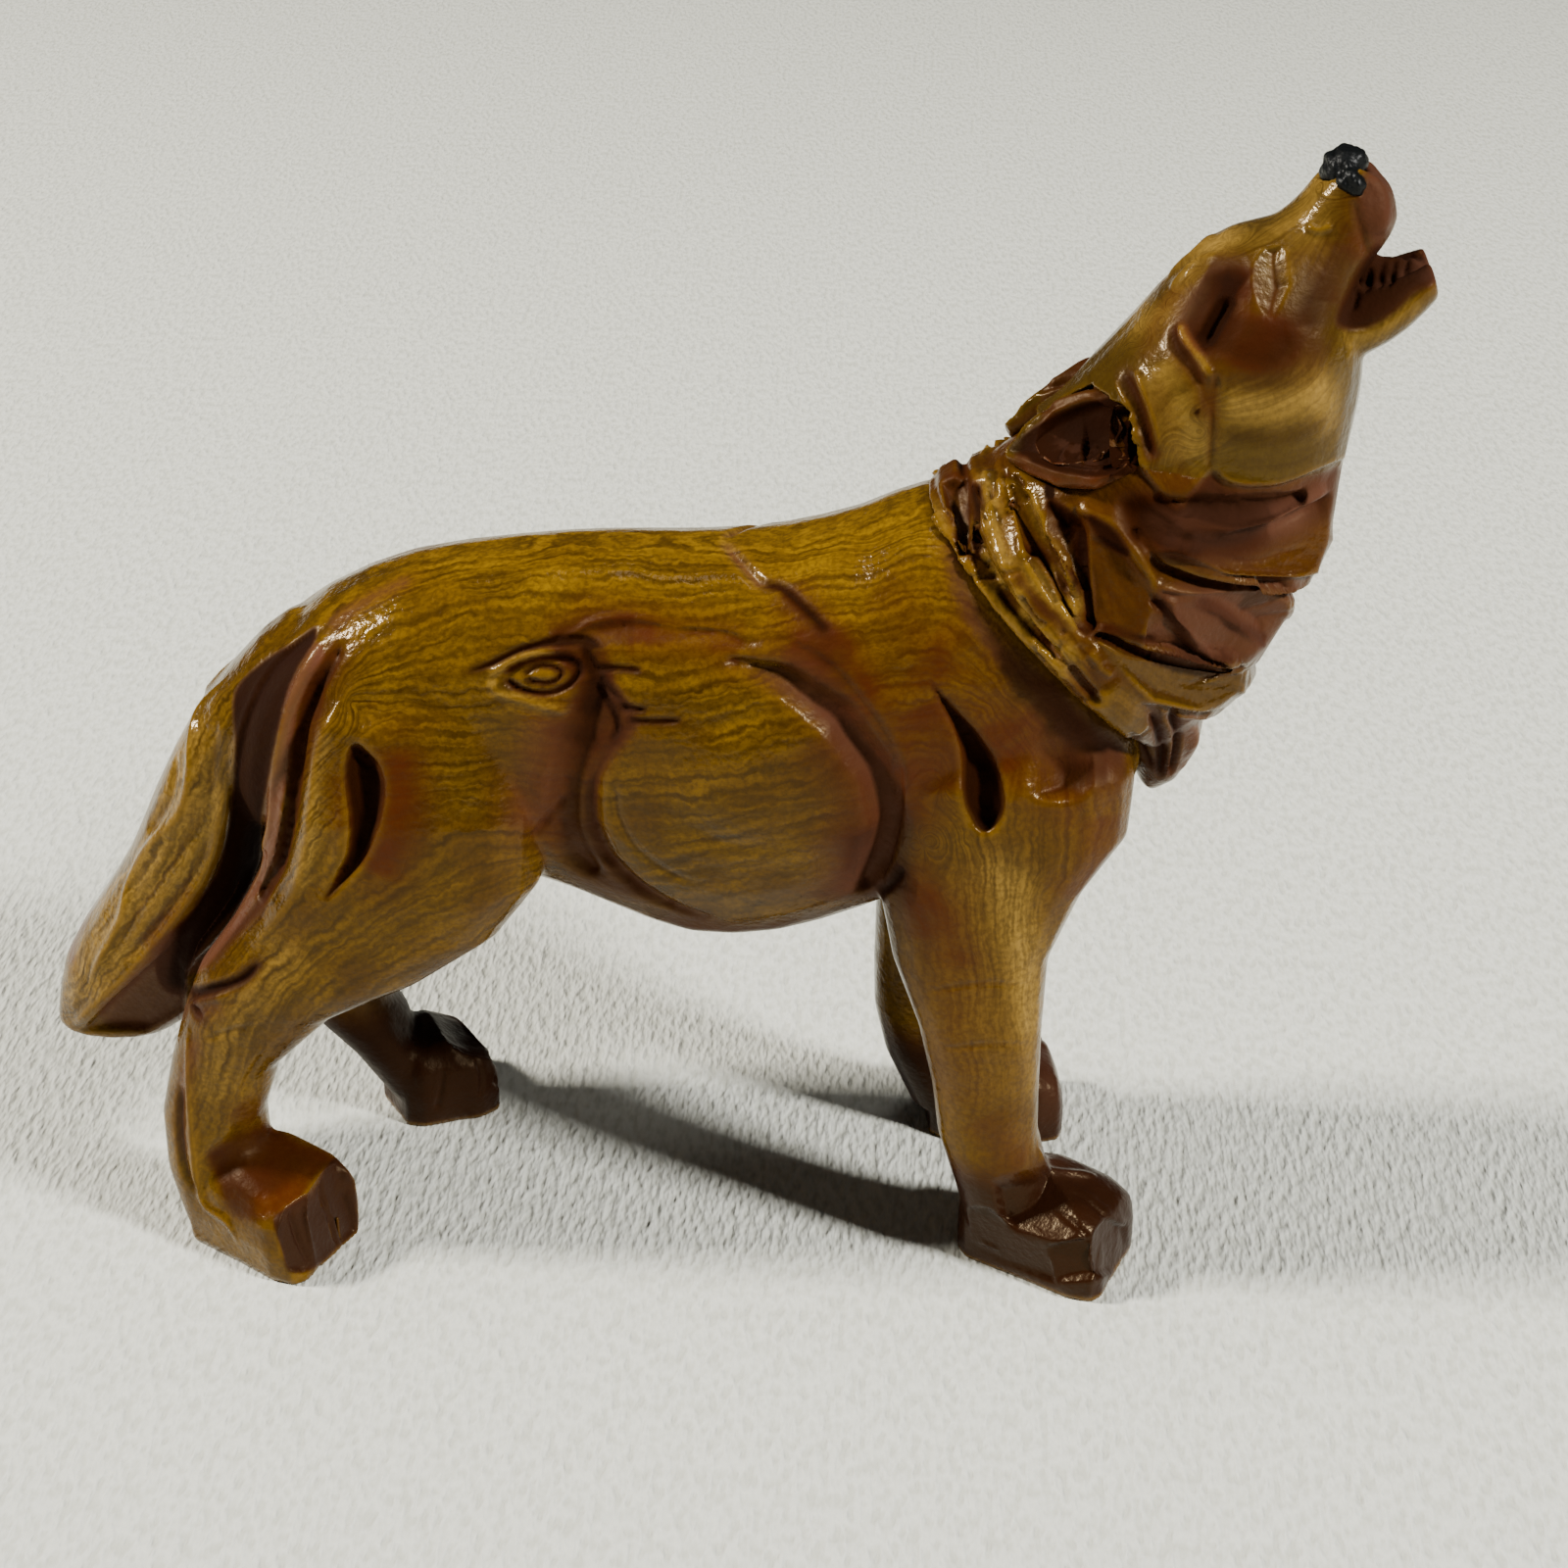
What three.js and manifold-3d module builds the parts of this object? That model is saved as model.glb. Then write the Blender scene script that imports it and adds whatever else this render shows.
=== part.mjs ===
// Howling wolf figurine, cast resin finished like carved wood, about 125 mm long.
// Twelve castings, bonded on pegs. Millimetres, +X towards the head, +Y towards
// the wolf's left side, +Z up, paw soles at Z = 0.
//
// A casting is drawn as a row of sections. Each section is [x1, z1, x2, z2, y, half]:
// two points of its outline in the side view, the offset of its middle from the
// mid-plane, and its half width across the body.

import * as THREE from 'three';
import { mergeVertices } from 'three/addons/utils/BufferGeometryUtils.js';
import Module from 'manifold-3d';

const wasm = await Module();
wasm.setup();

// Joints between castings: the gap at a seam, and the pegs that key them together
const seamGap = 0.3;
const legPegRadius = 2.2;
const legPegLength = 4.5;
const legPegRoot = 4;
const neckPegRadius = 3.5;
const neckPegLength = 5;
const headPegRadius = 3.2;
const headPegLength = 6.5;
const earPegRadius = 1.1;
const earPegLength = 2.6;
const frontLegSeam = 35;
const hindLegSeam = 36.5;

// Mesh fineness: corners of a ring, and rings between two drawn sections
const bodySides = 26;
const limbSides = 18;
const earSides = 14;
const pegSides = 12;
const bodySteps = 2;
const limbSteps = 1;

// How boxy a section is: 2 is an ellipse
const roundish = 2.3;
const squarish = 3.2;

// Torso, from the rump under the tail to the chest under the mane
const ribHalfWidth = 13.6;
const waistHalfWidth = 10.8;
const torsoSections = [
  [-41, 55, -43, 45, 0, 5.5],
  [-38, 59.1, -40, 41, 0, 8.5],
  [-33, 63.2, -34, 39, 0, 10.6],
  [-25.2, 66.7, -26, 38, 0, 11.4],
  [-15, 68.6, -15, 36.6, 0, waistHalfWidth],
  [-7, 69.2, -7, 33.6, 0, 12],
  [1, 69.3, 0, 31.2, 0, ribHalfWidth - 0.4],
  [8, 69.9, 8, 31.7, 0, ribHalfWidth],
  [15, 71.8, 16, 34.6, 0, ribHalfWidth - 0.2],
  [21, 74.4, 24, 38, 0, ribHalfWidth - 0.8],
  [27, 73.4, 32, 40, 0, 12],
  [33, 68, 38.5, 45, 0, 10],
  [37, 62, 41, 50.5, 0, 6.5],
];

// Carved relief: each gouge is a row of [x, z, half width] along its middle in the side
// view, cut to its depth below the skin on both sides of the body
const torsoGouges = {
  ribBorder: {
    depth: 1.5,
    line: [[3.6, 63, 0.4], [9, 61.7, 1.4], [13.8, 58.6, 1.8], [17.2, 53.4, 1.9],
      [18.2, 48.4, 1.8], [17.2, 43.5, 1.5], [15.8, 39.6, 0.6]],
  },
  bellyBorder: {
    depth: 1.1,
    line: [[-5.6, 57.5, 0.4], [-7.8, 52, 0.7], [-8, 47, 0.9], [-6.7, 43.1, 0.9],
      [-4, 39.9, 0.8], [-0.9, 37.8, 0.7], [2.6, 36.5, 0.3]],
  },
  flankHollow: {
    depth: 1.1,
    line: [[-7, 60.6, 0.6], [-7.9, 57.4, 2.3], [-9.2, 53.8, 2.4], [-10.2, 50, 2.2],
      [-10.7, 46, 2.5], [-9.3, 42.4, 2.1], [-8, 40.4, 0.8]],
  },
  haunchFold: {
    depth: 1.4,
    line: [[-30, 61.8, 0.3], [-32.1, 58.8, 0.8], [-33.6, 55.5, 1], [-34.3, 51.2, 1],
      [-35, 46.8, 1], [-36.3, 42.2, 0.9], [-38.6, 38, 0.5]],
  },
  haunchSlit: {
    depth: 1.4,
    line: [[-28.8, 55, 0.3], [-27.8, 53, 1.2], [-27.8, 50.5, 1.6], [-28.1, 48, 1.4],
      [-29.2, 44.5, 0.8], [-31.6, 40.8, 0.3]],
  },
  shoulderSlit: {
    depth: 1.5,
    line: [[21.8, 61.8, 0.3], [24, 58.5, 0.6], [25.8, 54.9, 1.3], [26.6, 51.6, 1.6],
      [26.6, 49.4, 1], [26.6, 48.4, 0.4]],
  },
  loinStep: {
    depth: 0.8,
    line: [[-11.5, 63, 0.4], [-8.4, 64.2, 0.8], [-4.6, 64.8, 0.9], [-0.5, 64.8, 0.9],
      [3.4, 64.6, 0.7], [6.9, 64.4, 0.3]],
  },
};

// Tail, from its root inside the rump to the flat-cut end
const tailHalfWidth = 6.8;
const tailSections = [
  [-31, 62, -32.5, 55, 0, 4.5],
  [-36.8, 61, -36, 53, 0, 5.4],
  [-41.3, 56.9, -38.4, 49.5, 0, 5.9],
  [-46, 51.2, -39.6, 45, 0, 6.2],
  [-50, 44, -40.4, 39, 0, 6.5],
  [-53.4, 36.8, -41.6, 33, 0, tailHalfWidth],
  [-57.4, 30.6, -43.6, 27, 0, tailHalfWidth],
  [-61, 24.8, -46.4, 21.5, 0, 6.3],
  [-62.8, 17.6, -51, 17.6, 0, 4.8],
];

// Hind legs: haunch, knee, hock and shank
const hindStance = 10;
const rightHindSections = [
  [-22, 62, -29, 62, -3.4, 3],
  [-16.5, 56, -35, 56, -6.6, 6],
  [-13, 47, -37.3, 47, -8, 7],
  [-13.2, 40, -39, 40, -8.6, 6.8],
  [-17.3, 34.5, -42, 34.5, -9.2, 6],
  [-24.2, 30, -45.3, 30, -hindStance, 5.2],
  [-32.6, 26, -46.9, 26, -hindStance, 4.8],
  [-38.8, 20, -48.8, 20, -hindStance, 4.4],
  [-40.8, 14, -50.3, 14, -hindStance, 4.2],
  [-40.8, 8, -50.4, 8, -hindStance, 4.4],
  [-41.5, 2.5, -49.2, 2.5, -hindStance, 4.6],
];
const leftHindSections = [
  [-22, 62, -29, 62, 3.4, 3],
  [-16.5, 56, -35, 56, 6.6, 6],
  [-13, 47, -37.3, 47, 8, 7],
  [-14.5, 40, -39, 40, 8.6, 6.8],
  [-21, 34.5, -41, 34.5, 9.2, 6],
  [-28, 30, -44, 30, hindStance, 5.2],
  [-32.2, 26, -45.6, 26, hindStance, 4.8],
  [-34, 20, -44.6, 20, hindStance, 4.5],
  [-32.2, 14, -41.2, 14, hindStance, 4.3],
  [-29, 8.5, -36.4, 8.5, hindStance + 0.6, 4.4],
  [-27, 3, -33, 3, hindStance + 1.2, 4.2],
];

// Front legs: shoulder, elbow, forearm and wrist
const frontStance = 10.4;
const rightFrontSections = [
  [32, 61, 22, 61, -4.4, 4],
  [39.8, 52, 16.5, 52, -7.6, 6.2],
  [39.4, 46, 17, 46, -8.2, 6],
  [35.6, 40.5, 17.4, 40.5, -9, 5.6],
  [32.8, 33.5, 18.8, 33.5, -9.6, 5.1],
  [32.5, 26.5, 21.4, 26.5, -frontStance, 4.7],
  [32.5, 20, 22.8, 20, -frontStance, 4.4],
  [32.6, 14.5, 23.5, 14.5, -frontStance, 4.2],
  [34, 9, 25.2, 9, -frontStance, 4.4],
  [34.5, 3, 26.8, 3, -frontStance, 4.2],
];
const leftFrontSections = [
  [32, 61, 22, 61, 4.4, 4],
  [37.4, 52, 16, 52, 7.6, 6.2],
  [37, 45, 16, 45, 8.2, 6],
  [33.5, 39.5, 17, 39.5, 9, 5.5],
  [31, 33, 17.3, 33, 9.8, 5],
  [29, 26.5, 17, 26.5, frontStance, 4.7],
  [27, 20, 16.9, 20, frontStance + 0.4, 4.4],
  [26.8, 14.5, 17, 14.5, frontStance + 0.8, 4.2],
  [28.2, 9, 18.2, 9, frontStance + 1, 4.3],
  [29.5, 3, 20.8, 3, frontStance + 1.2, 4.2],
];

// Paws: a toe block with two cuts, set ahead and outwards of the end of its shank and
// turned by its own angle in degrees
const pawHalfWidth = 5.9;
const heelHalfWidth = 4.4;
const instepRise = 1;
const instepNarrower = 0.6;
const heelRounding = [
  { behind: 0, drop: 1.5, narrower: 1.4 },
  { behind: 1.4, drop: 0, narrower: 0 },
];
const toeRounding = [
  { behind: 3, drop: 0.4, narrower: 0 },
  { behind: 0.8, drop: 1.6, narrower: 0.5 },
  { behind: 0.2, drop: 3.4, narrower: 1.7 },
];
const toeCutWidth = 0.7;
const toeCutDepth = 1.1;
const toeCutOffset = 2;
const toeCutSplay = 10;
const paws = {
  rightHind: { ahead: 4.4, outward: 2, length: 14.6, height: 9.6, turn: -25 },
  leftHind: { ahead: 1.8, outward: 0.7, length: 9.8, height: 9, turn: 34 },
  rightFront: { ahead: 3.2, outward: 0.1, length: 15.2, height: 8.6, turn: -23 },
  leftFront: { ahead: 4, outward: 0.4, length: 13.4, height: 8.4, turn: 8 },
};

// Mane: a collar and four stepped tufts down the throat, each drawn from the top down
const maneHalfWidth = 13.4;
const maneCoreSections = [
  [29.5, 80.4, 55.8, 79, 0, 9.6],
  [25.5, 77, 52.6, 68, 0, 11.4],
  [22.5, 75.8, 48, 58, 0, 12.2],
  [20.8, 75, 42.6, 51.6, 0, 12.2],
];
const maneTufts = [
  [
    [31, 81.6, 56.4, 79.5, 0, 9.6],
    [28.4, 78, 55.8, 71, 0, 11.6],
    [28, 76.8, 54.7, 67.8, 0, 12],
  ],
  [
    [26, 77, 52.2, 69, 0, 11.4],
    [25, 74.6, 52.9, 64.6, 0, 12.6],
    [25, 72.6, 50.8, 60.2, 0, 12.9],
  ],
  [
    [24, 76, 49.8, 62, 0, 12],
    [22.6, 74.6, 50.6, 58.2, 0, maneHalfWidth - 0.2],
    [23, 72.6, 47.6, 55, 0, maneHalfWidth],
  ],
  [
    [30, 68, 46.4, 56, 0, 9],
    [35, 60, 46, 51.4, 0, 6.6],
    [38.5, 53, 44.2, 47.4, 0, 4.4],
    [40.5, 48, 42.2, 46, 0, 2.2],
  ],
];
const collarSections = [
  [25.4, 77.4, 47.4, 56, 0, maneHalfWidth - 0.4],
  [23.2, 77, 45, 53.6, 0, maneHalfWidth + 0.5],
  [21.6, 76, 43.2, 51.8, 0, maneHalfWidth + 0.3],
];

const maneGouges = {
  collarGroove: {
    depth: 1.4,
    line: [[23.7, 77.4, 0.4], [24.5, 75.2, 0.9], [25.7, 72.4, 1.1], [27.6, 70, 1.1],
      [29.7, 67.8, 0.9], [32.4, 65.3, 0.4]],
  },
  neckGroove: {
    depth: 1.4,
    line: [[27.5, 77.8, 0.4], [28.7, 75.7, 0.8], [30.3, 73.4, 0.9], [32.4, 70.9, 0.8],
      [34.8, 67.9, 0.4]],
  },
  tuftCut: {
    depth: 1.2,
    line: [[33.2, 77.4, 0.4], [33.9, 75.2, 0.8], [34.2, 71.6, 0.8], [35, 67.6, 0.4]],
  },
  throatStep: {
    depth: 1.2,
    line: [[35, 67.2, 0.4], [38.3, 65.4, 0.9], [42.7, 63.6, 1], [47.6, 61.4, 0.6]],
  },
  throatCut: {
    depth: 1,
    line: [[39, 71.4, 0.4], [40.1, 69.7, 0.7], [42.7, 67, 0.7], [45.4, 64.5, 0.4]],
  },
  tuftStep: {
    depth: 1.1,
    line: [[38, 76, 0.4], [40.4, 73, 0.8], [44.4, 71.3, 0.9], [49.4, 70, 0.6]],
  },
  chinHollow: {
    depth: 1.1,
    line: [[39.4, 78.6, 0.4], [43.9, 77.6, 1.3], [48.1, 77.2, 1.5], [52.6, 77.4, 1.1]],
  },
};
const gougeSteps = [{ width: 1, depth: 0.5 }, { width: 0.5, depth: 1 }];
const thinnestGouge = 0.12;

// Head: skull and upper muzzle, pointing up at about fifty degrees
const skullHalfWidth = 9;
const muzzleHalfWidth = 3.9;
const headSections = [
  [29.8, 82, 56.4, 79.4, 0, 9.4],
  [33.4, 85.2, 57, 84.6, 0, skullHalfWidth + 0.3],
  [37.6, 90, 57, 88.6, 0, skullHalfWidth],
  [41.8, 95.3, 56.2, 90.6, 0, 8],
  [45.4, 98.1, 55.6, 92.6, 0, 6.4],
  [48.8, 99.2, 56.2, 95.4, 0, 4.8],
  [51, 101.4, 57.8, 97.8, 0, muzzleHalfWidth],
  [52.6, 103.8, 58.7, 100, 0, muzzleHalfWidth - 0.4],
  [54.2, 105.2, 58, 102.4, 0, 2.2],
];

// Lower jaw: a trough, from its hinge inside the cheeks to the chin
const jawSections = [
  [50.5, 92.4, 53, 87, 0, 5],
  [54.4, 94.2, 57.6, 88.8, 0, 4.7],
  [58, 95.6, 60.4, 90.8, 0, 4.1],
  [61.5, 96.9, 62.7, 93.4, 0, 3],
];
const jawTrough = { ahead: -4.3, up: 1, long: 5.2, wide: 2.9, deep: 2.6, slope: 20 };

// Nose pad on the tip of the muzzle
const nosePad = { ahead: -2, up: 0.1, long: 1.9, wide: 2, tall: 1.6, slope: 45 };

// Ears, laid back along the nape like two leaves leaning together, each scooped hollow.
// Their sections run from the root backwards to the tip.
const earRoot = { ahead: -7.6, up: -1.4, inset: 2.2 };
const earLean = 50;
const earDroop = 22;
const earConverge = 22;
const earHalfThickness = 2;
const earSections = [
  [0.4, 4.2, 0.4, -4.2, 0, 1.5],
  [-3, 5, -3, -5, 0, earHalfThickness],
  [-6.6, 4, -6.6, -4, 0, earHalfThickness],
  [-9.4, 2.2, -9.4, -2.2, 0, 1.5],
  [-11.4, 0.6, -11.4, -0.6, 0, 0.7],
];
const earHollow = { x: -4.6, long: 4.6, tall: 3.5, deep: 1.7, lift: 0.6 };

// Where the neck and head pegs start, and the way they point
const neckPegStart = { ahead: -3.2, up: -2.9 };
const neckPegDirection = { x: -24, z: -22 };
const headPegStart = { ahead: -1.8, up: -1.4 };
const headPegDirection = { x: -2, z: -14 };

// Colours of the stained and varnished resin
const honeyBrown = '#9a6a1c';
const stainedBrown = '#7a4a18';
const noseBlack = '#15130f';

function solidOf(geometry) {
  const bare = geometry.clone();
  bare.deleteAttribute('normal');
  bare.deleteAttribute('uv');
  const merged = mergeVertices(bare, 1e-4);
  const mesh = new wasm.Mesh({
    numProp: 3,
    vertProperties: new Float32Array(merged.attributes.position.array),
    triVerts: new Uint32Array(merged.index.array),
  });
  return new wasm.Manifold(mesh);
}

function geometryOf(solid) {
  const mesh = solid.getMesh();
  const geometry = new THREE.BufferGeometry();
  geometry.setAttribute('position', new THREE.BufferAttribute(mesh.vertProperties, 3));
  geometry.setIndex(new THREE.BufferAttribute(mesh.triVerts, 1));
  geometry.computeVertexNormals();
  return geometry;
}

// Sections between the drawn ones, on a smooth curve through all of them
function refine(sections, steps) {
  const size = sections[0].length;
  const curve = new THREE.CubicInterpolant(
    sections.map((section, index) => index), sections.flat(), size);
  const count = (sections.length - 1) * steps;
  const rows = [];
  for (let i = 0; i <= count; i += 1) {
    rows.push(Array.from(curve.evaluate(i / steps)));
  }
  return rows;
}

// A ring of corner points round one section: squareness 2 is an ellipse, more is boxier
function ringPoints(section, sides, squareness, grow) {
  const [x1, z1, x2, z2, y, half] = section;
  const middle = new THREE.Vector3((x1 + x2) / 2, y, (z1 + z2) / 2);
  const reach = new THREE.Vector3((x1 - x2) / 2, 0, (z1 - z2) / 2);
  reach.setLength(reach.length() + grow);
  const power = 2 / squareness;
  const points = [];
  for (let k = 0; k < sides; k += 1) {
    const angle = (2 * Math.PI * k) / sides;
    const across = Math.sign(Math.cos(angle)) * Math.abs(Math.cos(angle)) ** power;
    const along = Math.sign(Math.sin(angle)) * Math.abs(Math.sin(angle)) ** power;
    const point = middle.clone().addScaledVector(reach, along);
    point.y += (half + grow) * across;
    points.push(point);
  }
  return points;
}

// Closed surface through a row of sections; grow makes it larger all round for a seat
function loft(sections, options) {
  const { sides = bodySides, steps = bodySteps, squareness = 2, grow = 0 } = options;
  const rings = refine(sections, steps)
    .map((section) => ringPoints(section, sides, squareness, grow));
  const middleOf = (ring) => ring.reduce((sum, p) => sum.add(p), new THREE.Vector3())
    .divideScalar(ring.length);
  const first = middleOf(rings[0]);
  const last = middleOf(rings.at(-1));
  const startPush = first.clone().sub(middleOf(rings[1])).setLength(grow);
  const endPush = last.clone().sub(middleOf(rings.at(-2))).setLength(grow);
  rings[0].forEach((point) => point.add(startPush));
  rings.at(-1).forEach((point) => point.add(endPush));
  const points = [...rings.flat(), first.add(startPush), last.add(endPush)];
  const faces = [];
  const lastRing = (rings.length - 1) * sides;
  for (let k = 0; k < sides; k += 1) {
    const next = (k + 1) % sides;
    for (let row = 0; row < lastRing; row += sides) {
      faces.push(row + k, row + next, row + sides + k);
      faces.push(row + next, row + sides + next, row + sides + k);
    }
    faces.push(points.length - 2, next, k);
    faces.push(points.length - 1, lastRing + k, lastRing + next);
  }
  if (signedVolume(points, faces) < 0) {
    faces.reverse();
  }
  const geometry = new THREE.BufferGeometry().setFromPoints(points);
  geometry.setIndex(faces);
  return solidOf(geometry);
}

function signedVolume(points, faces) {
  let total = 0;
  for (let i = 0; i < faces.length; i += 3) {
    const [a, b, c] = [points[faces[i]], points[faces[i + 1]], points[faces[i + 2]]];
    total += a.dot(b.clone().cross(c)) / 6;
  }
  return total;
}

function joined(solids) {
  return solids.reduce((whole, solid) => whole.add(solid));
}

// A block that takes away everything between two levels
const wellClear = 300;
function slab(bottom, top) {
  const block = new THREE.BoxGeometry(wellClear, wellClear, top - bottom);
  block.translate(0, 0, (top + bottom) / 2);
  return solidOf(block);
}

function egg(long, wide, tall) {
  return new THREE.SphereGeometry(1, 14, 9).scale(long, wide, tall);
}

// A strip right through the body, along a gouge's middle line in the side view
function strip(line, widthShare) {
  const rows = refine(line, limbSteps);
  const rims = [-1, 1].map((side) => rows.map(([x, z, half], index) => {
    const before = rows[Math.max(index - 1, 0)];
    const after = rows[Math.min(index + 1, rows.length - 1)];
    const across = new THREE.Vector2(before[1] - after[1], after[0] - before[0]);
    across.setLength(side * Math.max(half * widthShare, thinnestGouge));
    return new THREE.Vector2(x, z).add(across);
  }));
  const outline = new THREE.Shape([...rims[0], ...rims[1].reverse()]);
  const bar = new THREE.ExtrudeGeometry(outline, { depth: wellClear, bevelEnabled: false });
  bar.rotateX(Math.PI / 2);
  bar.translate(0, wellClear / 2, 0);
  return solidOf(bar);
}

// A casting with its gouges, each cut in two steps down to a shrunken copy of its form
function carved(solid, form, gouges) {
  const cuts = Object.values(gouges).flatMap(({ depth, line }) => (
    gougeSteps.map((step) => strip(line, step.width).subtract(form(-depth * step.depth)))));
  return solid.subtract(joined(cuts));
}

// A place in the mid-plane, set off from the middle of a section
function placeBy([x1, z1, x2, z2], { ahead, up }) {
  return new THREE.Vector3((x1 + x2) / 2 + ahead, 0, (z1 + z2) / 2 + up);
}

// A round peg from a point along a direction
function peg(radius, start, direction, length) {
  const shape = new THREE.CylinderGeometry(radius, radius, length, pegSides);
  shape.translate(0, length / 2, 0);
  const turn = new THREE.Quaternion().setFromUnitVectors(
    new THREE.Vector3(0, 1, 0), direction.clone().normalize());
  shape.applyQuaternion(turn);
  shape.translate(start.x, start.y, start.z);
  return solidOf(shape);
}

// A peg in the mid-plane, or its socket when a gap is given
function midPeg(radius, start, direction, length, gap = 0) {
  return peg(radius + gap, start, new THREE.Vector3(direction.x, 0, direction.z), length + gap);
}

// A paw: a low block with a flat sole, a rising instep and two cuts between the toes
function pawSolid(shankEnd, { ahead, outward, length, height, turn }) {
  const [x1, , x2, , stance] = shankEnd;
  const front = length / 2;
  const buried = -2;
  const rounded = (place, halfWidth, { behind, drop, narrower }) => [
    place - Math.sign(place) * behind, height - drop,
    place - Math.sign(place) * behind, buried, 0, halfWidth - narrower];
  const sections = [
    ...heelRounding.map((step) => rounded(-front, heelHalfWidth, step)),
    [0, height + instepRise, 0, buried, 0, pawHalfWidth - instepNarrower],
    ...toeRounding.map((step) => rounded(front, pawHalfWidth, step)),
  ];
  const block = loft(sections, { sides: limbSides, steps: limbSteps, squareness: squarish });
  const cuts = [-1, 1].map((side) => {
    const cut = new THREE.BoxGeometry(toeCutDepth * 2, toeCutWidth, height * 3);
    cut.rotateZ(THREE.MathUtils.degToRad(side * toeCutSplay));
    cut.translate(front, side * toeCutOffset, 0);
    return solidOf(cut);
  });
  return block.subtract(joined(cuts)).rotate([0, 0, turn])
    .translate([(x1 + x2) / 2 + ahead, stance + Math.sign(stance) * outward, 0]);
}

// The middle of a limb at one level, between the two sections on either side of it
function middleAt(sections, level) {
  const below = sections.findIndex((section) => section[1] <= level);
  const [upper, lower] = [sections[below - 1], sections[below]];
  const share = (upper[1] - level) / (upper[1] - lower[1]);
  const [x1, , x2, , y] = upper.map((value, i) => value + (lower[i] - value) * share);
  return new THREE.Vector3((x1 + x2) / 2, y, level);
}

// Trunk, tail, mane, head, jaw, nose and ears; a gap makes the seat for each one
const limbShape = { sides: limbSides, steps: limbSteps, squareness: roundish };
const softShape = { sides: limbSides, steps: bodySteps, squareness: roundish };
function tailForm(grow) {
  return loft(tailSections, { ...softShape, grow });
}
function maneForm(grow) {
  return joined([maneCoreSections, collarSections, ...maneTufts].map((sections) => (
    loft(sections, { steps: limbSteps, grow }))));
}
function skullForm(grow) {
  return loft(headSections, { squareness: roundish, grow });
}
function jawForm(grow) {
  return loft(jawSections, { ...softShape, grow });
}
function troughForm() {
  const trough = egg(jawTrough.long, jawTrough.wide, jawTrough.deep);
  trough.rotateY(-THREE.MathUtils.degToRad(jawTrough.slope));
  const place = placeBy(jawSections.at(-1), jawTrough);
  return solidOf(trough.translate(place.x, place.y, place.z));
}
function noseForm(grow) {
  const pad = egg(nosePad.long + grow, nosePad.wide + grow, nosePad.tall + grow);
  pad.rotateY(-THREE.MathUtils.degToRad(nosePad.slope));
  const place = placeBy(headSections.at(-1), nosePad);
  return solidOf(pad.translate(place.x, place.y, place.z));
}
function earPlaced(solid, side) {
  const root = placeBy(headSections[1], earRoot);
  return solid.rotate([side * earLean, -earDroop, side * earConverge])
    .translate([root.x, side * (skullHalfWidth - earRoot.inset), root.z]);
}
function earForm(side, grow) {
  const leaf = loft(earSections, { sides: earSides, steps: limbSteps, grow });
  const inward = new THREE.Vector3(0, -side, 0);
  const start = new THREE.Vector3(earSections[1][0], 0, 0);
  const tenon = peg(earPegRadius + grow, start, inward, earPegLength + grow);
  return earPlaced(leaf.add(tenon), side);
}
function earScoop(side) {
  const hollow = egg(earHollow.long, earHollow.deep, earHollow.tall);
  hollow.translate(earHollow.x, side * (earHalfThickness + earHollow.lift), 0);
  return earPlaced(solidOf(hollow), side);
}

// Legs: each one ends at its seam, and its peg stands in a socket in the torso
const pieces = {};
const tailSeat = tailForm(seamGap);
const ground = slab(-wellClear, 0);
const upward = new THREE.Vector3(0, 0, 1);
const legs = {
  front_right_leg: { sections: rightFrontSections, paw: paws.rightFront, seam: frontLegSeam },
  front_left_leg: { sections: leftFrontSections, paw: paws.leftFront, seam: frontLegSeam },
  hind_right_leg: { sections: rightHindSections, paw: paws.rightHind, seam: hindLegSeam },
  hind_left_leg: { sections: leftHindSections, paw: paws.leftHind, seam: hindLegSeam },
};
const legSeats = [];
for (const [name, { sections, paw, seam }] of Object.entries(legs)) {
  const limb = loft(sections, limbShape);
  const root = middleAt(sections, seam - legPegRoot);
  const pegReach = legPegRoot + legPegLength;
  const socket = peg(legPegRadius + seamGap, root, upward, pegReach + seamGap);
  const seat = loft(sections, { ...limbShape, grow: seamGap });
  legSeats.push(seat.subtract(slab(seam, wellClear)).add(socket));
  const shank = limb.subtract(slab(seam - seamGap, wellClear));
  pieces[name] = joined([shank, pawSolid(sections.at(-1), paw),
    peg(legPegRadius, root, upward, pegReach)])
    .subtract(ground)
    .subtract(tailSeat);
}

// Torso: trunk, haunches and shoulders, with a seat for everything that joins it
function torsoForm(grow) {
  const upperLimbs = Object.values(legs).map(({ sections, seam }) => (
    loft(sections, { ...limbShape, grow }).subtract(slab(-wellClear, seam))));
  return joined([loft(torsoSections, { squareness: roundish, grow }), ...upperLimbs]);
}
const neckRoot = placeBy(maneCoreSections[2], neckPegStart);
const headRoot = placeBy(headSections[1], headPegStart);
const neckPeg = [neckPegRadius, neckRoot, neckPegDirection, neckPegLength];
const headPeg = [headPegRadius, headRoot, headPegDirection, headPegLength];
pieces.torso = carved(torsoForm(0), torsoForm, torsoGouges)
  .subtract(joined([...legSeats, tailSeat, maneForm(seamGap), midPeg(...neckPeg, seamGap)]));
pieces.tail = tailForm(0);

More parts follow.
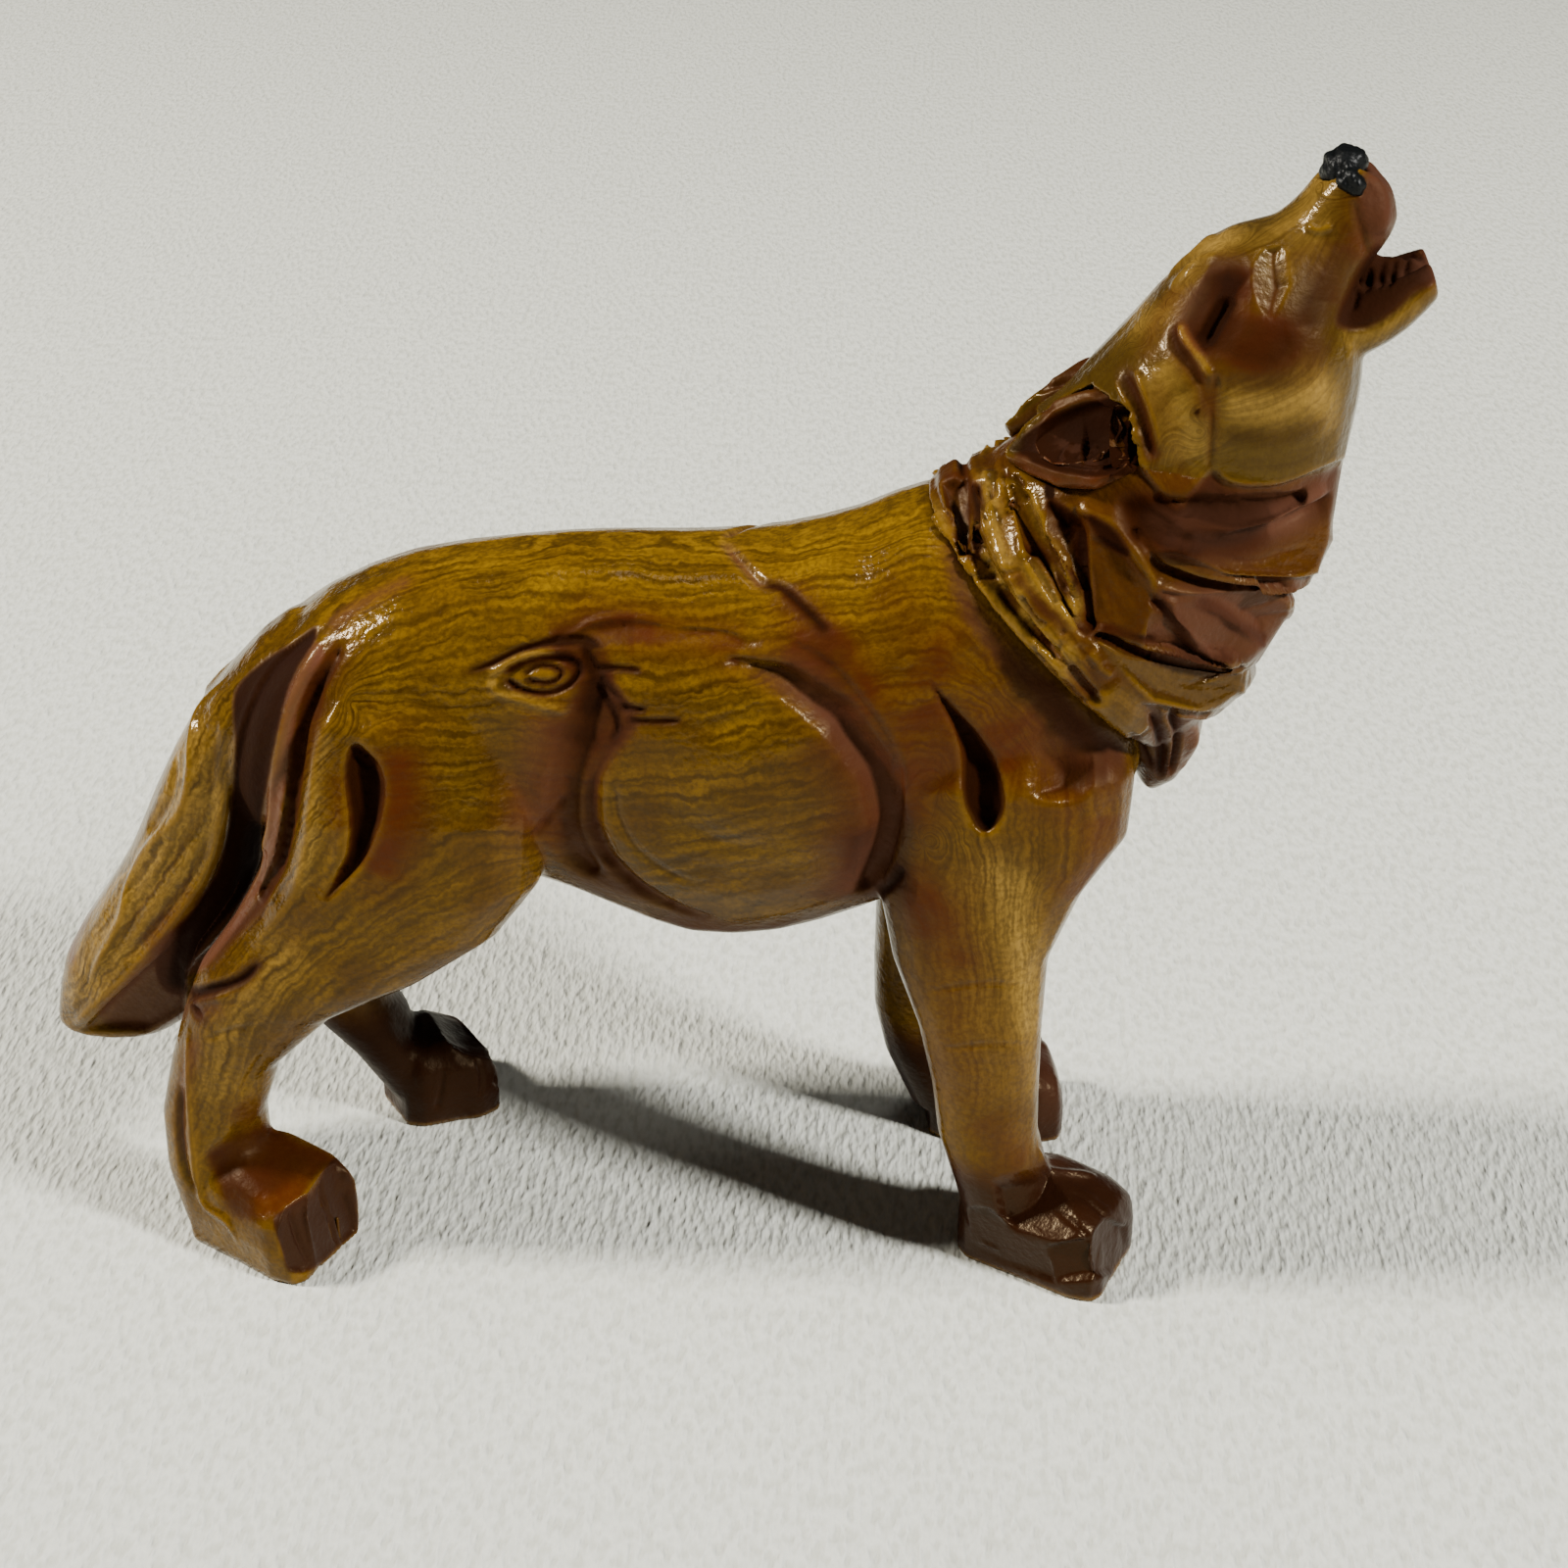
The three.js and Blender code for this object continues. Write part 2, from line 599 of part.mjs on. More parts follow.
// Head, mane and what is set into them
const earSeats = joined([-1, 1].map((side) => earForm(side, seamGap)));
pieces.mane = carved(maneForm(0), maneForm, maneGouges)
  .add(midPeg(...neckPeg))
  .subtract(joined([skullForm(seamGap), midPeg(...headPeg, seamGap), earSeats]));
pieces.head = skullForm(0)
  .add(midPeg(...headPeg))
  .subtract(joined([jawForm(seamGap), noseForm(seamGap), earSeats]));
pieces.lower_jaw = jawForm(0).subtract(troughForm());
pieces.nose = noseForm(0);
pieces.right_ear = earForm(-1, 0).subtract(earScoop(-1));
pieces.left_ear = earForm(1, 0).subtract(earScoop(1));

const colours = {
  torso: honeyBrown,
  mane: stainedBrown,
  head: honeyBrown,
  lower_jaw: stainedBrown,
  nose: noseBlack,
  right_ear: stainedBrown,
  left_ear: stainedBrown,
  tail: honeyBrown,
  front_right_leg: honeyBrown,
  front_left_leg: honeyBrown,
  hind_right_leg: honeyBrown,
  hind_left_leg: honeyBrown,
};
const wolf = new THREE.Group();
for (const [name, color] of Object.entries(colours)) {
  const material = new THREE.MeshStandardMaterial({ color, roughness: 0.22, metalness: 0 });
  const mesh = new THREE.Mesh(geometryOf(pieces[name]), material);
  mesh.name = name;
  wolf.add(mesh);
}

// Stand the wolf on the middle of its own outline
const outline = new THREE.Box3().setFromObject(wolf);
const middle = outline.getCenter(new THREE.Vector3());
wolf.position.set(-middle.x, -middle.y, 0);

export default wolf;
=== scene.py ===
import math

import bmesh
import bpy
import numpy as np
from mathutils import Matrix, Vector
from mathutils.bvhtree import BVHTree
from mathutils.kdtree import KDTree


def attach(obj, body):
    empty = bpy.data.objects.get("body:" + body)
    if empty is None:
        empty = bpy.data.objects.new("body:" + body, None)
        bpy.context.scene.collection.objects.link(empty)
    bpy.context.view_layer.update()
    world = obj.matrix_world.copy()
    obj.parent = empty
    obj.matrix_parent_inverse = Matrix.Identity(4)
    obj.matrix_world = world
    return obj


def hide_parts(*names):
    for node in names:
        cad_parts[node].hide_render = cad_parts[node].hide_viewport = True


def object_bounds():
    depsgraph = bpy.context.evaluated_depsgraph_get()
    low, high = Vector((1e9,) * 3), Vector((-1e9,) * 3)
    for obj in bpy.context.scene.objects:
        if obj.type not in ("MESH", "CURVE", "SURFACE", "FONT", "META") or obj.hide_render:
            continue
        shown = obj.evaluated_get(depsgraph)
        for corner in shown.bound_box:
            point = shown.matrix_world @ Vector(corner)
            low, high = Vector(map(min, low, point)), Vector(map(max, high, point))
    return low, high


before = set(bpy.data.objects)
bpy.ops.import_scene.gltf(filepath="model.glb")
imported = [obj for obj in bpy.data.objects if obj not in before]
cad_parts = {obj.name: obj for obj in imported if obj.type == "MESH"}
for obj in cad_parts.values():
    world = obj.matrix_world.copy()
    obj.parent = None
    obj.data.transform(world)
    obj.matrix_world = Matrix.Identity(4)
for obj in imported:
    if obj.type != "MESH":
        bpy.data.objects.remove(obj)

cad_box = [list(corner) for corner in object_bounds()]
mm = 0.001

# View point. The camera stands where the photograph was taken from: above the table and almost
# square to the wolf's right side. Lengths here are in millimetres, and the carver's strokes
# further down are drawn in pixels of the square picture and laid along its lines of sight.
aim = np.array((8.334, 0.486, 44.973))
azimuth, elevation = math.radians(3), math.radians(29)
camera_distance = 262.874
lens, sensor, picture_side = 65.25, 36, 1600
wolf_middle = 0.486

backward = np.array((math.sin(azimuth) * math.cos(elevation),
                     -math.cos(azimuth) * math.cos(elevation),
                     math.sin(elevation)))
rightward = np.cross(-backward, (0, 0, 1))
rightward /= np.linalg.norm(rightward)
upward = np.cross(rightward, -backward)
eye_point = aim + backward * camera_distance

camera_data = bpy.data.cameras.new("camera")
camera_data.lens = lens
camera_data.sensor_width = sensor
camera_data.clip_start = 10 * mm
camera_data.clip_end = 10
camera = bpy.data.objects.new("camera", camera_data)
camera.location = Vector(eye_point) * mm
camera.rotation_euler = Vector(backward).to_track_quat("Z", "Y").to_euler()
bpy.context.scene.collection.objects.link(camera)
bpy.context.scene.camera = camera

# Table. A sheet of matt off-white card with a fine wrinkled embossing, lit by two far windows,
# on the tail side and in front of the wolf, which throw shadows to the right and to the left, and
# by a weak ceiling light.
def linear(colour):
    """An sRGB hex colour as the linear colour that shaders take."""
    parts = [int(colour[place:place + 2], 16) / 255 for place in (1, 3, 5)]
    return [part / 12.92 if part <= 0.04045 else ((part + 0.055) / 1.055) ** 2.4
            for part in parts] + [1]


def add(tree, kind, inputs=None, out=0, **settings):
    """Adds one node and gives one of its outputs. An input is a value or another output."""
    made = tree.nodes.new(kind)
    for name, value in settings.items():
        setattr(made, name, value)
    for name, value in (inputs or {}).items():
        if isinstance(value, bpy.types.NodeSocket):
            tree.links.new(value, made.inputs[name])
        else:
            made.inputs[name].default_value = value
    return made.outputs[out] if made.outputs else made


def new_material(name, **shader):
    """A material with one principled shader, its constants set on its own sockets."""
    material = bpy.data.materials.new(name)
    material.use_nodes = True
    tree = material.node_tree
    tree.nodes.clear()
    surface = add(tree, "ShaderNodeBsdfPrincipled", shader)
    add(tree, "ShaderNodeOutputMaterial", {"Surface": surface})
    return material, tree, surface.node


sheet_reach = 3000
card_crest, card_crease_shade = "#d0d1c7", "#bfc0b4"
wrinkle_wide, wrinkle_long = 0.8, 2.2
table_mesh = bpy.data.meshes.new("table")
sheet = bmesh.new()
bmesh.ops.create_grid(sheet, x_segments=1, y_segments=1, size=sheet_reach * mm)
sheet.to_mesh(table_mesh)
sheet.free()
table = bpy.data.objects.new("table", table_mesh)
bpy.context.scene.collection.objects.link(table)
card, card_tree, card_surface = new_material("embossed_card", **{
    "Roughness": 0.75, "Specular IOR Level": 0.25})
card_place = add(card_tree, "ShaderNodeTexCoord", out="Object")
drawn_out = add(card_tree, "ShaderNodeVectorMath", {
    0: card_place, 1: (1, wrinkle_wide / wrinkle_long, 1)}, operation="MULTIPLY")
wrinkles = add(card_tree, "ShaderNodeTexNoise", {
    "Vector": drawn_out, "Scale": 1 / (wrinkle_wide * mm), "Detail": 1.5})
# the creases of the embossing are coloured darker than its crests: painted shade
crease_shade = add(card_tree, "ShaderNodeMapRange", {0: wrinkles, 1: 0.55, 2: 0.35}, clamp=True)
shade = add(card_tree, "ShaderNodeMix", {
    0: crease_shade, 6: linear(card_crest), 7: linear(card_crease_shade)}, out=2, data_type="RGBA")
card_tree.links.new(shade, card_surface.inputs["Base Color"])
emboss = add(card_tree, "ShaderNodeBump", {
    "Height": wrinkles, "Strength": 1.0, "Distance": 0.6 * mm})
card_tree.links.new(emboss, card_surface.inputs["Normal"])
table_mesh.materials.append(card)

world = bpy.data.worlds.new("room")
world.use_nodes = True
world.node_tree.nodes["Background"].inputs["Color"].default_value = linear("#e9eef0")
world.node_tree.nodes["Background"].inputs["Strength"].default_value = 0.045
bpy.context.scene.world = world


def lamp(name, place, size, power, tint):
    """A square soft box of some watts that faces the middle of the wolf."""
    data = bpy.data.lights.new(name, "AREA")
    data.size = size * mm
    data.energy = power
    data.color = linear(tint)[:3]
    light = bpy.data.objects.new(name, data)
    light.location = Vector(place) * mm
    facing = Vector(place) - Vector((0, 0, aimed_at))
    light.rotation_euler = facing.to_track_quat("Z", "Y").to_euler()
    bpy.context.scene.collection.objects.link(light)


aimed_at = 45
lamp("window", (-950, -40, 890), 170, 34, "#fffaf0")
lamp("far_window", (880, -470, 820), 170, 32, "#fbfaf6")
lamp("ceiling", (-60, 180, 1250), 300, 1.5, "#fbfaf6")

# Body: trunk, legs and tail. Cast resin, in the mould of a carved and sanded wooden wolf, in six
# castings bonded at the limb roots and rubbed flush. One skin is carved over all of them and then
# parted along their joints.
def merged_copy(nodes, swell):
    """Copies of CAD solids in one mesh, each merged and swollen a little so that they meet."""
    shell = bmesh.new()
    for name in nodes:
        shell.from_mesh(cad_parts[name].data)
    bmesh.ops.remove_doubles(shell, verts=shell.verts, dist=0.002 * mm)
    shell.normal_update()
    for vert in shell.verts:
        vert.co += vert.normal * swell * mm
    return shell


def object_from(shell, name):
    """An object at the origin that holds the mesh."""
    mesh = bpy.data.meshes.new(name)
    shell.to_mesh(mesh)
    shell.free()
    made = bpy.data.objects.new(name, mesh)
    bpy.context.scene.collection.objects.link(made)
    return made


def apply_modifiers(made):
    """Turns an object's modifiers into its mesh."""
    graph = bpy.context.evaluated_depsgraph_get()
    mesh = bpy.data.meshes.new_from_object(made.evaluated_get(graph))
    made.modifiers.clear()
    old = made.data
    made.data = mesh
    bpy.data.meshes.remove(old)


def largest_part(made):
    """Keeps the outer skin and drops what the remesh left inside."""
    shell = bmesh.new()
    shell.from_mesh(made.data)
    shell.verts.ensure_lookup_table()
    unseen = set(range(len(shell.verts)))
    best = []
    while unseen:
        start = unseen.pop()
        island, edge = [start], [start]
        while edge:
            for link in shell.verts[edge.pop()].link_edges:
                for vert in link.verts:
                    if vert.index in unseen:
                        unseen.discard(vert.index)
                        island.append(vert.index)
                        edge.append(vert.index)
        if len(island) > len(best):
            best = island
    keep = set(best)
    loose = [vert for vert in shell.verts if vert.index not in keep]
    bmesh.ops.delete(shell, geom=loose, context="VERTS")
    shell.to_mesh(made.data)
    shell.free()


def skin_over(name, nodes, voxel, swell=0.2, lumps=()):
    """One closed, even skin over copies of CAD solids, and over round lumps laid among them."""
    shell = merged_copy(nodes, swell)
    for place, radius in lumps:
        bmesh.ops.create_icosphere(shell, subdivisions=3, radius=radius * mm,
                                   matrix=Matrix.Translation(Vector(place) * mm))
    made = object_from(shell, name)
    remesh = made.modifiers.new("skin", "REMESH")
    remesh.mode = "VOXEL"
    remesh.voxel_size = voxel * mm
    apply_modifiers(made)
    largest_part(made)
    return made


class Skin:
    """A mesh as arrays in millimetres: places, outward directions and neighbours."""

    def __init__(self, made):
        self.made = made
        mesh = made.data
        self.spots = self.read(mesh.vertices, "co", 3).reshape(-1, 3) / mm
        edges = self.read(mesh.edges, "vertices", 2, np.int32).reshape(-1, 2)
        self.ends = np.concatenate((edges[:, 0], edges[:, 1]))
        self.others = np.concatenate((edges[:, 1], edges[:, 0]))
        self.count = np.bincount(self.ends, minlength=len(self.spots))
        self.refresh()

    @staticmethod
    def read(items, name, width, kind=np.float32):
        values = np.zeros(len(items) * width, kind)
        items.foreach_get(name, values)
        return values

    def write(self):
        self.made.data.vertices.foreach_set("co", (self.spots * mm).astype(np.float32).ravel())
        self.made.data.update()

    def refresh(self):
        """Takes the outward directions from the mesh as it is now."""
        self.write()
        self.facing = self.read(self.made.data.vertex_normals, "vector", 3).reshape(-1, 3)

    def averaged(self, values):
        """The mean of each vertex's neighbours."""
        if values.ndim == 1:
            total = np.bincount(self.ends, values[self.others], len(values))
            return total / self.count
        return np.stack([self.averaged(column) for column in values.T], 1)

    def smooth(self, rounds, share=1):
        """Relaxes the skin; share says how much each vertex takes part."""
        weight = np.broadcast_to(0.5 * np.asarray(share, float), len(self.spots))[:, None]
        for _ in range(rounds):
            self.spots += weight * (self.averaged(self.spots) - self.spots)
        self.refresh()

    def tree(self):
        mesh = self.made.data
        mesh.calc_loop_triangles()
        corners = self.read(mesh.loop_triangles, "vertices", 3, np.int32).reshape(-1, 3)
        return BVHTree.FromPolygons(self.spots.tolist(), corners.tolist())


def curve_through(points, closed=False):
    """A smooth curve through drawn points, as close points."""
    points = np.array(points, float)
    if len(points) < 3:
        return np.linspace(points[0], points[-1], 12)
    if closed:
        points = np.concatenate((points[-1:], points, points[:2]))
    else:
        points = np.concatenate((2 * points[:1] - points[1:2], points,
                                 2 * points[-1:] - points[-2:-1]))
    step = np.linspace(0, 1, 6, endpoint=False)[:, None]
    pieces = []
    for a, b, c, d in zip(points, points[1:], points[2:], points[3:]):
        pieces.append(b + 0.5 * step * (c - a + step * (
            2 * a - 5 * b + 4 * c - d + step * (3 * b - a - 3 * c + d))))
    if not closed:
        pieces.append(points[-2:-1])
    return np.concatenate(pieces)


def on_skin(tree, drawn, side, closed=False, shift=(0, 0), straight=False):
    """A line drawn over the photograph, laid on the skin along the lines of sight.
    Side -1 is the wolf's right, which the camera sees, and 1 mirrors it to the left, where
    a shift moves it. A straight one keeps its corners."""
    spots, facing = [], []
    flip = np.array((1, -side, 1))
    start = (eye_point - (0, wolf_middle, 0)) * flip + (0, wolf_middle, 0)
    points = np.array(drawn, float) if straight else curve_through(drawn, closed)
    for across, down in points + np.array(shift if side > 0 else (0, 0)) - picture_side / 2:
        sight = (-backward * lens / sensor * picture_side + rightward * across
                 - upward * down) * flip
        sight /= np.linalg.norm(sight)
        place, normal, _, _ = tree.ray_cast(Vector(start), Vector(sight))
        if place is None:
            tries = [tree.find_nearest(Vector(start + sight * reach))
                     for reach in np.arange(210, 320, 1.5)]
            place, normal, _, _ = min(tries, key=lambda found: found[3])
        spots.append(place)
        facing.append(normal)
    facing = np.array(facing)
    for _ in range(3):
        facing[1:-1] = (facing[:-2] + facing[1:-1] + facing[2:]) / 3
    facing /= np.linalg.norm(facing, axis=1)[:, None]
    return np.array(spots), facing


def along(skin, line, reach):
    """For the vertices near a line on the skin: which they are, how far across they lie
    (positive to the left of its direction) and what share of its length is behind them."""
    places, facing = line
    low, high = places.min(0) - reach - 1, places.max(0) + reach + 1
    near = np.nonzero(((skin.spots > low) & (skin.spots < high)).all(1))[0]
    spots, normals = skin.spots[near], skin.facing[near]
    best = np.full(len(near), 1e9)
    side, share = np.zeros(len(near)), np.zeros(len(near))
    lengths = np.linalg.norm(np.diff(places, axis=0), axis=1)
    total = max(lengths.sum(), 1e-6)
    done = 0
    for a, b, n, length in zip(places, places[1:], facing, lengths):
        if length < 1e-6:
            continue
        run = (b - a) / length
        travel = np.clip((spots - a) @ run, 0, length)
        gap = spots - a - travel[:, None] * run
        painted_top_light = gap @ n
        gap -= painted_top_light[:, None] * n
        far = np.linalg.norm(gap, axis=1)
        far[(np.abs(painted_top_light) > reach + 2) | (normals @ n < -0.1)] = 1e9
        closer = far < best
        best[closer] = far[closer]
        side[closer] = np.sign(gap[closer] @ np.cross(n, run))
        share[closer] = (done + travel[closer]) / total
        done += length
    inside = best < reach
    return near[inside], (best * side)[inside], share[inside]


def tapered(share, ends):
    """1 along a stroke, falling to 0 over the given shares of its length at its ends."""
    start, end = ends
    rise = np.clip(share / max(start, 1e-3), 0, 1)
    fall = np.clip((1 - share) / max(end, 1e-3), 0, 1)
    both = np.minimum(rise, fall)
    return both * (2 - both)


def seen(spots, side):
    """Where the camera sees points, or its mirror image if side is 1, in millimetres across and
    up at the wolf's distance."""
    flip = np.array((1, -side, 1))
    ahead = spots - (eye_point - (0, wolf_middle, 0)) * flip - (0, wolf_middle, 0)
    depth = -(ahead @ (backward * flip)) / camera_distance
    return np.stack((ahead @ (rightward * flip), ahead @ (upward * flip)), 1) / depth[:, None]


def within(skin, outline, side, margin):
    """For the vertices near a closed line: how far inside it they lie, as the camera sees it."""
    places, _ = outline
    middle = places.mean(0)
    radius = np.linalg.norm(places - middle, axis=1).max() + margin
    near = np.nonzero((np.linalg.norm(skin.spots - middle, axis=1) < radius * 1.1)
                      & (skin.facing @ (backward * (1, -side, 1)) > 0.05))[0]
    flat, corners = seen(skin.spots[near], side), seen(places, side)
    nearest = np.full(len(near), 1e9)
    inside = np.zeros(len(near), bool)
    for a, b in zip(corners, np.roll(corners, -1, 0)):
        edge = b - a
        travel = np.clip((flat - a) @ edge / max(edge @ edge, 1e-9), 0, 1)
        nearest = np.minimum(nearest, np.linalg.norm(flat - a - travel[:, None] * edge, axis=1))
        crossing = (a[1] > flat[:, 1]) != (b[1] > flat[:, 1])
        if a[1] != b[1]:
            where = a[0] + (flat[:, 1] - a[1]) * edge[0] / edge[1]
            inside ^= crossing & (flat[:, 0] < where)
    return near, np.where(inside, nearest, -nearest)


def smoothstep(value):
    value = np.clip(value, 0, 1)
    return value * value * (3 - 2 * value)


class Carving:
    """Heights to carve into a skin and colours to stain it with, gathered stroke by stroke."""

    def __init__(self, skin, sides=(-1, 1)):
        self.skin = skin
        self.sides = sides
        self.surface = skin.tree()
        self.height = np.zeros(len(skin.spots))
        self.moves = np.zeros((len(skin.spots), 3))
        self.stain_and_painted_light = np.zeros((len(skin.spots), 4))

    def lines(self, drawn, sides=None, **more):
        for side in sides or self.sides:
            yield on_skin(self.surface, drawn, side, **more), -side

    def facet(self, drawn, depths, wall=0.4, turned=None, **more):
        """A flat chisel cut: the skin inside a cornered shape is brought to the plane that
        lies the given depths below its corners, or is cut down to one turned a given way."""
        for outline, turn in self.lines(drawn, straight=True, **more):
            places, facing = outline
            normal = facing.mean(0)
            normal /= np.linalg.norm(normal)
            goals = places - np.broadcast_to(depths, len(places))[:, None] * normal
            middle = goals.mean(0)
            run = np.cross(normal, (0.3, 0.2, 1))
            run /= np.linalg.norm(run)
            rise = np.cross(normal, run)
            flat = (goals - middle) @ np.stack((run, rise), 1)
            slope, *_ = np.linalg.lstsq(flat, (goals - middle) @ normal, rcond=None)
            upright = normal - slope[0] * run - slope[1] * rise
            cut, raised = 2, 2
            if turned:
                upright, raised = np.array(turned) * (1, turn, 1), 0.15
            near, inside = within(self.skin, outline, -turn, 1)
            share = smoothstep(inside / wall + 0.5)
            off = np.clip((middle - self.skin.spots[near]) @ upright, -cut, raised)
            self.moves[near] += share[:, None] * (off[:, None] * upright - self.moves[near])

    def groove(self, drawn, width, depth, ends=(0.2, 0.2), sharp=False, **more):
        """A gouge stroke: rounded, or a V when sharp. A negative depth makes a ridge."""
        for line, _ in self.lines(drawn, **more):
            near, across, share = along(self.skin, line, width * 1.5)
            scale = np.maximum(tapered(share, ends), 0.05)
            off = np.abs(across) / (width * (0.4 + 0.6 * scale))
            shape = np.clip(1 - off, 0, 1) if sharp else np.exp(-2.2 * off * off)
            self.height[near] -= depth * scale * shape

    def strip(self, drawn, width, turned):
        """A narrow flat planed along a line, leant over to face a given way."""
        for line, turn in self.lines(drawn):
            places, facing = line
            run = np.diff(places, axis=0)
            leftward = np.cross(facing[1:], run / (np.linalg.norm(run, axis=1)[:, None] + 1e-9))
            goal = np.array(turned) * (1, turn, 1)
            lean = np.mean(-(leftward @ goal) / np.maximum(facing[1:] @ goal, 0.3))
            near, across, share = along(self.skin, line, width)
            level = smoothstep((1 - np.abs(across) / width) / 0.35)
            fade = level * tapered(share, (0.1, 0.1))
            self.height[near] += np.clip(lean, -0.9, 0.9) * across * fade

    def ledge(self, drawn, rise, drop, above, below, ends=(0.15, 0.15), lip=0.35, **more):
        """A step like the edge of a shingle: the skin swells towards the line from its left
        and falls off sharply to its right, where it slowly comes back."""
        for line, turn in self.lines(drawn, **more):
            near, across, share = along(self.skin, line, max(above, below) * 1.2)
            across = across * turn
            scale = tapered(share, ends)
            up = rise * np.clip(1 - across / above, 0, 1) ** 1.5
            down = -drop * np.clip(1 + across / below, 0, 1) ** 1.5
            mix = smoothstep((across + lip) / (2 * lip))
            self.height[near] += scale * (mix * up + (1 - mix) * down)

    def hollow(self, drawn, depth, wall, rings=0, pitch=1.2, **more):
        """A closed shape cut to a level, with a steep wall and perhaps rings on its floor."""
        for outline, turn in self.lines(drawn, closed=True, **more):
            near, inside = within(self.skin, outline, -turn, 2)
            floor = smoothstep(inside / wall + 0.5)
            wave = rings * np.cos(2 * np.pi * inside / pitch) * smoothstep(inside / wall)
            self.height[near] -= floor * depth + wave

    def brush(self, drawn, radius, amounts, ends=(0.1, 0.1), **more):
        """An airbrush stroke of red-brown, dark brown, rose and perhaps pale stain; in places it is
        painted light or painted shade.
        """
        for line, _ in self.lines(drawn, **more):
            near, across, share = along(self.skin, line, radius * 2)
            soft = np.exp(-2 * (across / radius) ** 2) * (0.3 + 0.7 * tapered(share, ends))
            self.stain_and_painted_light[near, :len(amounts)] += soft[:, None] * np.array(amounts)

    def fill(self, drawn, soft, amounts, **more):
        """Stain over a closed shape with a soft border; in places it is painted shade."""
        for outline, turn in self.lines(drawn, closed=True, **more):
            near, inside = within(self.skin, outline, -turn, soft * 2)
            share = smoothstep(inside / soft / 2 + 0.5)[:, None]
            self.stain_and_painted_light[near, :len(amounts)] += share * np.array(amounts)

    def finish(self):
        """Moves the skin by the gathered heights, less and less towards the profile."""
        skin = self.skin
        turned = np.maximum(skin.facing @ backward, skin.facing @ (backward * (1, -1, 1)))
        share = smoothstep(turned / 0.45)[:, None]
        skin.spots += share * (self.moves + skin.facing * self.height[:, None])
        low, high = np.array(cad_box[0]) / mm + 0.02, np.array(cad_box[1]) / mm - 0.02
        low[2] = 0
        skin.spots = np.clip(skin.spots, low, high)
        skin.refresh()

    def store(self, grain):
        """Keeps stain, grain and the hollows where stain gathers with the mesh."""
        skin = self.skin
        blurred = skin.spots
        for _ in range(10):
            blurred = blurred + 0.5 * (skin.averaged(blurred) - blurred)
        cavity = ((blurred - skin.spots) * skin.facing).sum(1)
        for _ in range(2):
            cavity += 0.5 * (skin.averaged(cavity) - cavity)
        self.colours = np.clip(self.stain_and_painted_light, 0, 1)
        self.carved = np.stack((grain, np.clip(0.5 + cavity * 2, 0, 1), np.zeros(len(grain))), 1)
        mesh = skin.made.data
        layer = mesh.attributes.new("stain_and_painted_light", "FLOAT_COLOR", "POINT")
        layer.data.foreach_set("color", self.colours.astype(np.float32).ravel())
        layer = mesh.attributes.new("carved", "FLOAT_VECTOR", "POINT")
        layer.data.foreach_set("vector", self.carved.astype(np.float32).ravel())
        self.finder = KDTree(len(skin.spots))
        for place, spot in enumerate(skin.spots * mm):
            self.finder.insert(spot, place)
        self.finder.balance()

    def recolour(self, mesh, verts):
        """Gives vertices made by a saw cut the stain and grain of the skin beside them."""
        stain_and_painted_light, carved = mesh.attributes["stain_and_painted_light"].data, mesh.attributes["carved"].data
        for vert in verts:
            _, place, _ = self.finder.find(mesh.vertices[vert].co)
            stain_and_painted_light[vert].color = self.colours[place]
            carved[vert].vector = self.carved[place]


def flow_field(skin, surface, guides):
    """How far across the painted grain each vertex lies, in millimetres: even along every
    guide line, and smooth between them."""
    knots, levels = [], []
    for level, drawn in guides:
        for side in (-1, 1):
            places, _ = on_skin(surface, drawn, side)
            knots.append(places[::5])
            levels.append(np.full(len(places[::5]), float(level)))
    knots, levels = np.concatenate(knots), np.concatenate(levels)
    count = len(knots)
    frame_of = lambda spots: np.concatenate((np.ones((len(spots), 1)), spots), 1)
    apart = np.linalg.norm(knots[:, None] - knots[None], axis=2)
    system = np.zeros((count + 4, count + 4))
    system[:count, :count] = apart + np.eye(count) * 0.5
    system[:count, count:] = frame_of(knots)
    system[count:, :count] = frame_of(knots).T
    weights = np.linalg.solve(system, np.concatenate((levels, np.zeros(4))))
    values = frame_of(skin.spots) @ weights[count:]
    for knot, weight in zip(knots, weights):
        values += weight * np.linalg.norm(skin.spots - knot, axis=1)
    return values


body_voxel = 0.3
body_nodes = ["torso", "tail", "front_right_leg", "front_left_leg", "hind_right_leg",
              "hind_left_leg"]
body_skin = Skin(skin_over("carved_torso", body_nodes, body_voxel))
sole_share = smoothstep((body_skin.spots[:, 2] - 3) / 6)
body_skin.smooth(12, share=0.25 + 0.75 * sole_share)
body = Carving(body_skin)

# the tail's crisp edge above a dark valley, then the two folds of the haunch
body.ledge([(165, 980), (188, 945), (205, 920), (222, 885), (233, 850), (238, 800), (243, 765),
            (252, 730), (270, 692), (298, 660), (330, 638)], 0.2, 0.4, 3.5, 2.4, ends=(0.1, 0.1))
fold_crest = [(330, 650), (309, 690), (289, 745), (280, 800), (274, 852), (250, 905), (228, 941),
              (199, 974), (188, 992)]
fold_floor = [(345, 672), (326, 700), (309, 740), (303, 790), (297, 840), (286, 885), (262, 925),
              (234, 955), (214, 985)]
body.groove(fold_crest, 0.9, -0.4, ends=(0.1, 0.1))
body.groove(fold_floor, 1.5, 0.25, ends=(0.15, 0.15))
body.groove([(372, 690), (345, 722), (325, 762), (320, 810), (314, 860), (303, 906), (280, 940),
             (255, 968)], 1.0, -0.35, ends=(0.2, 0.2))
body.groove([(395, 700), (362, 745), (345, 790), (340, 840), (330, 890), (305, 935)], 1.4, 0.15)

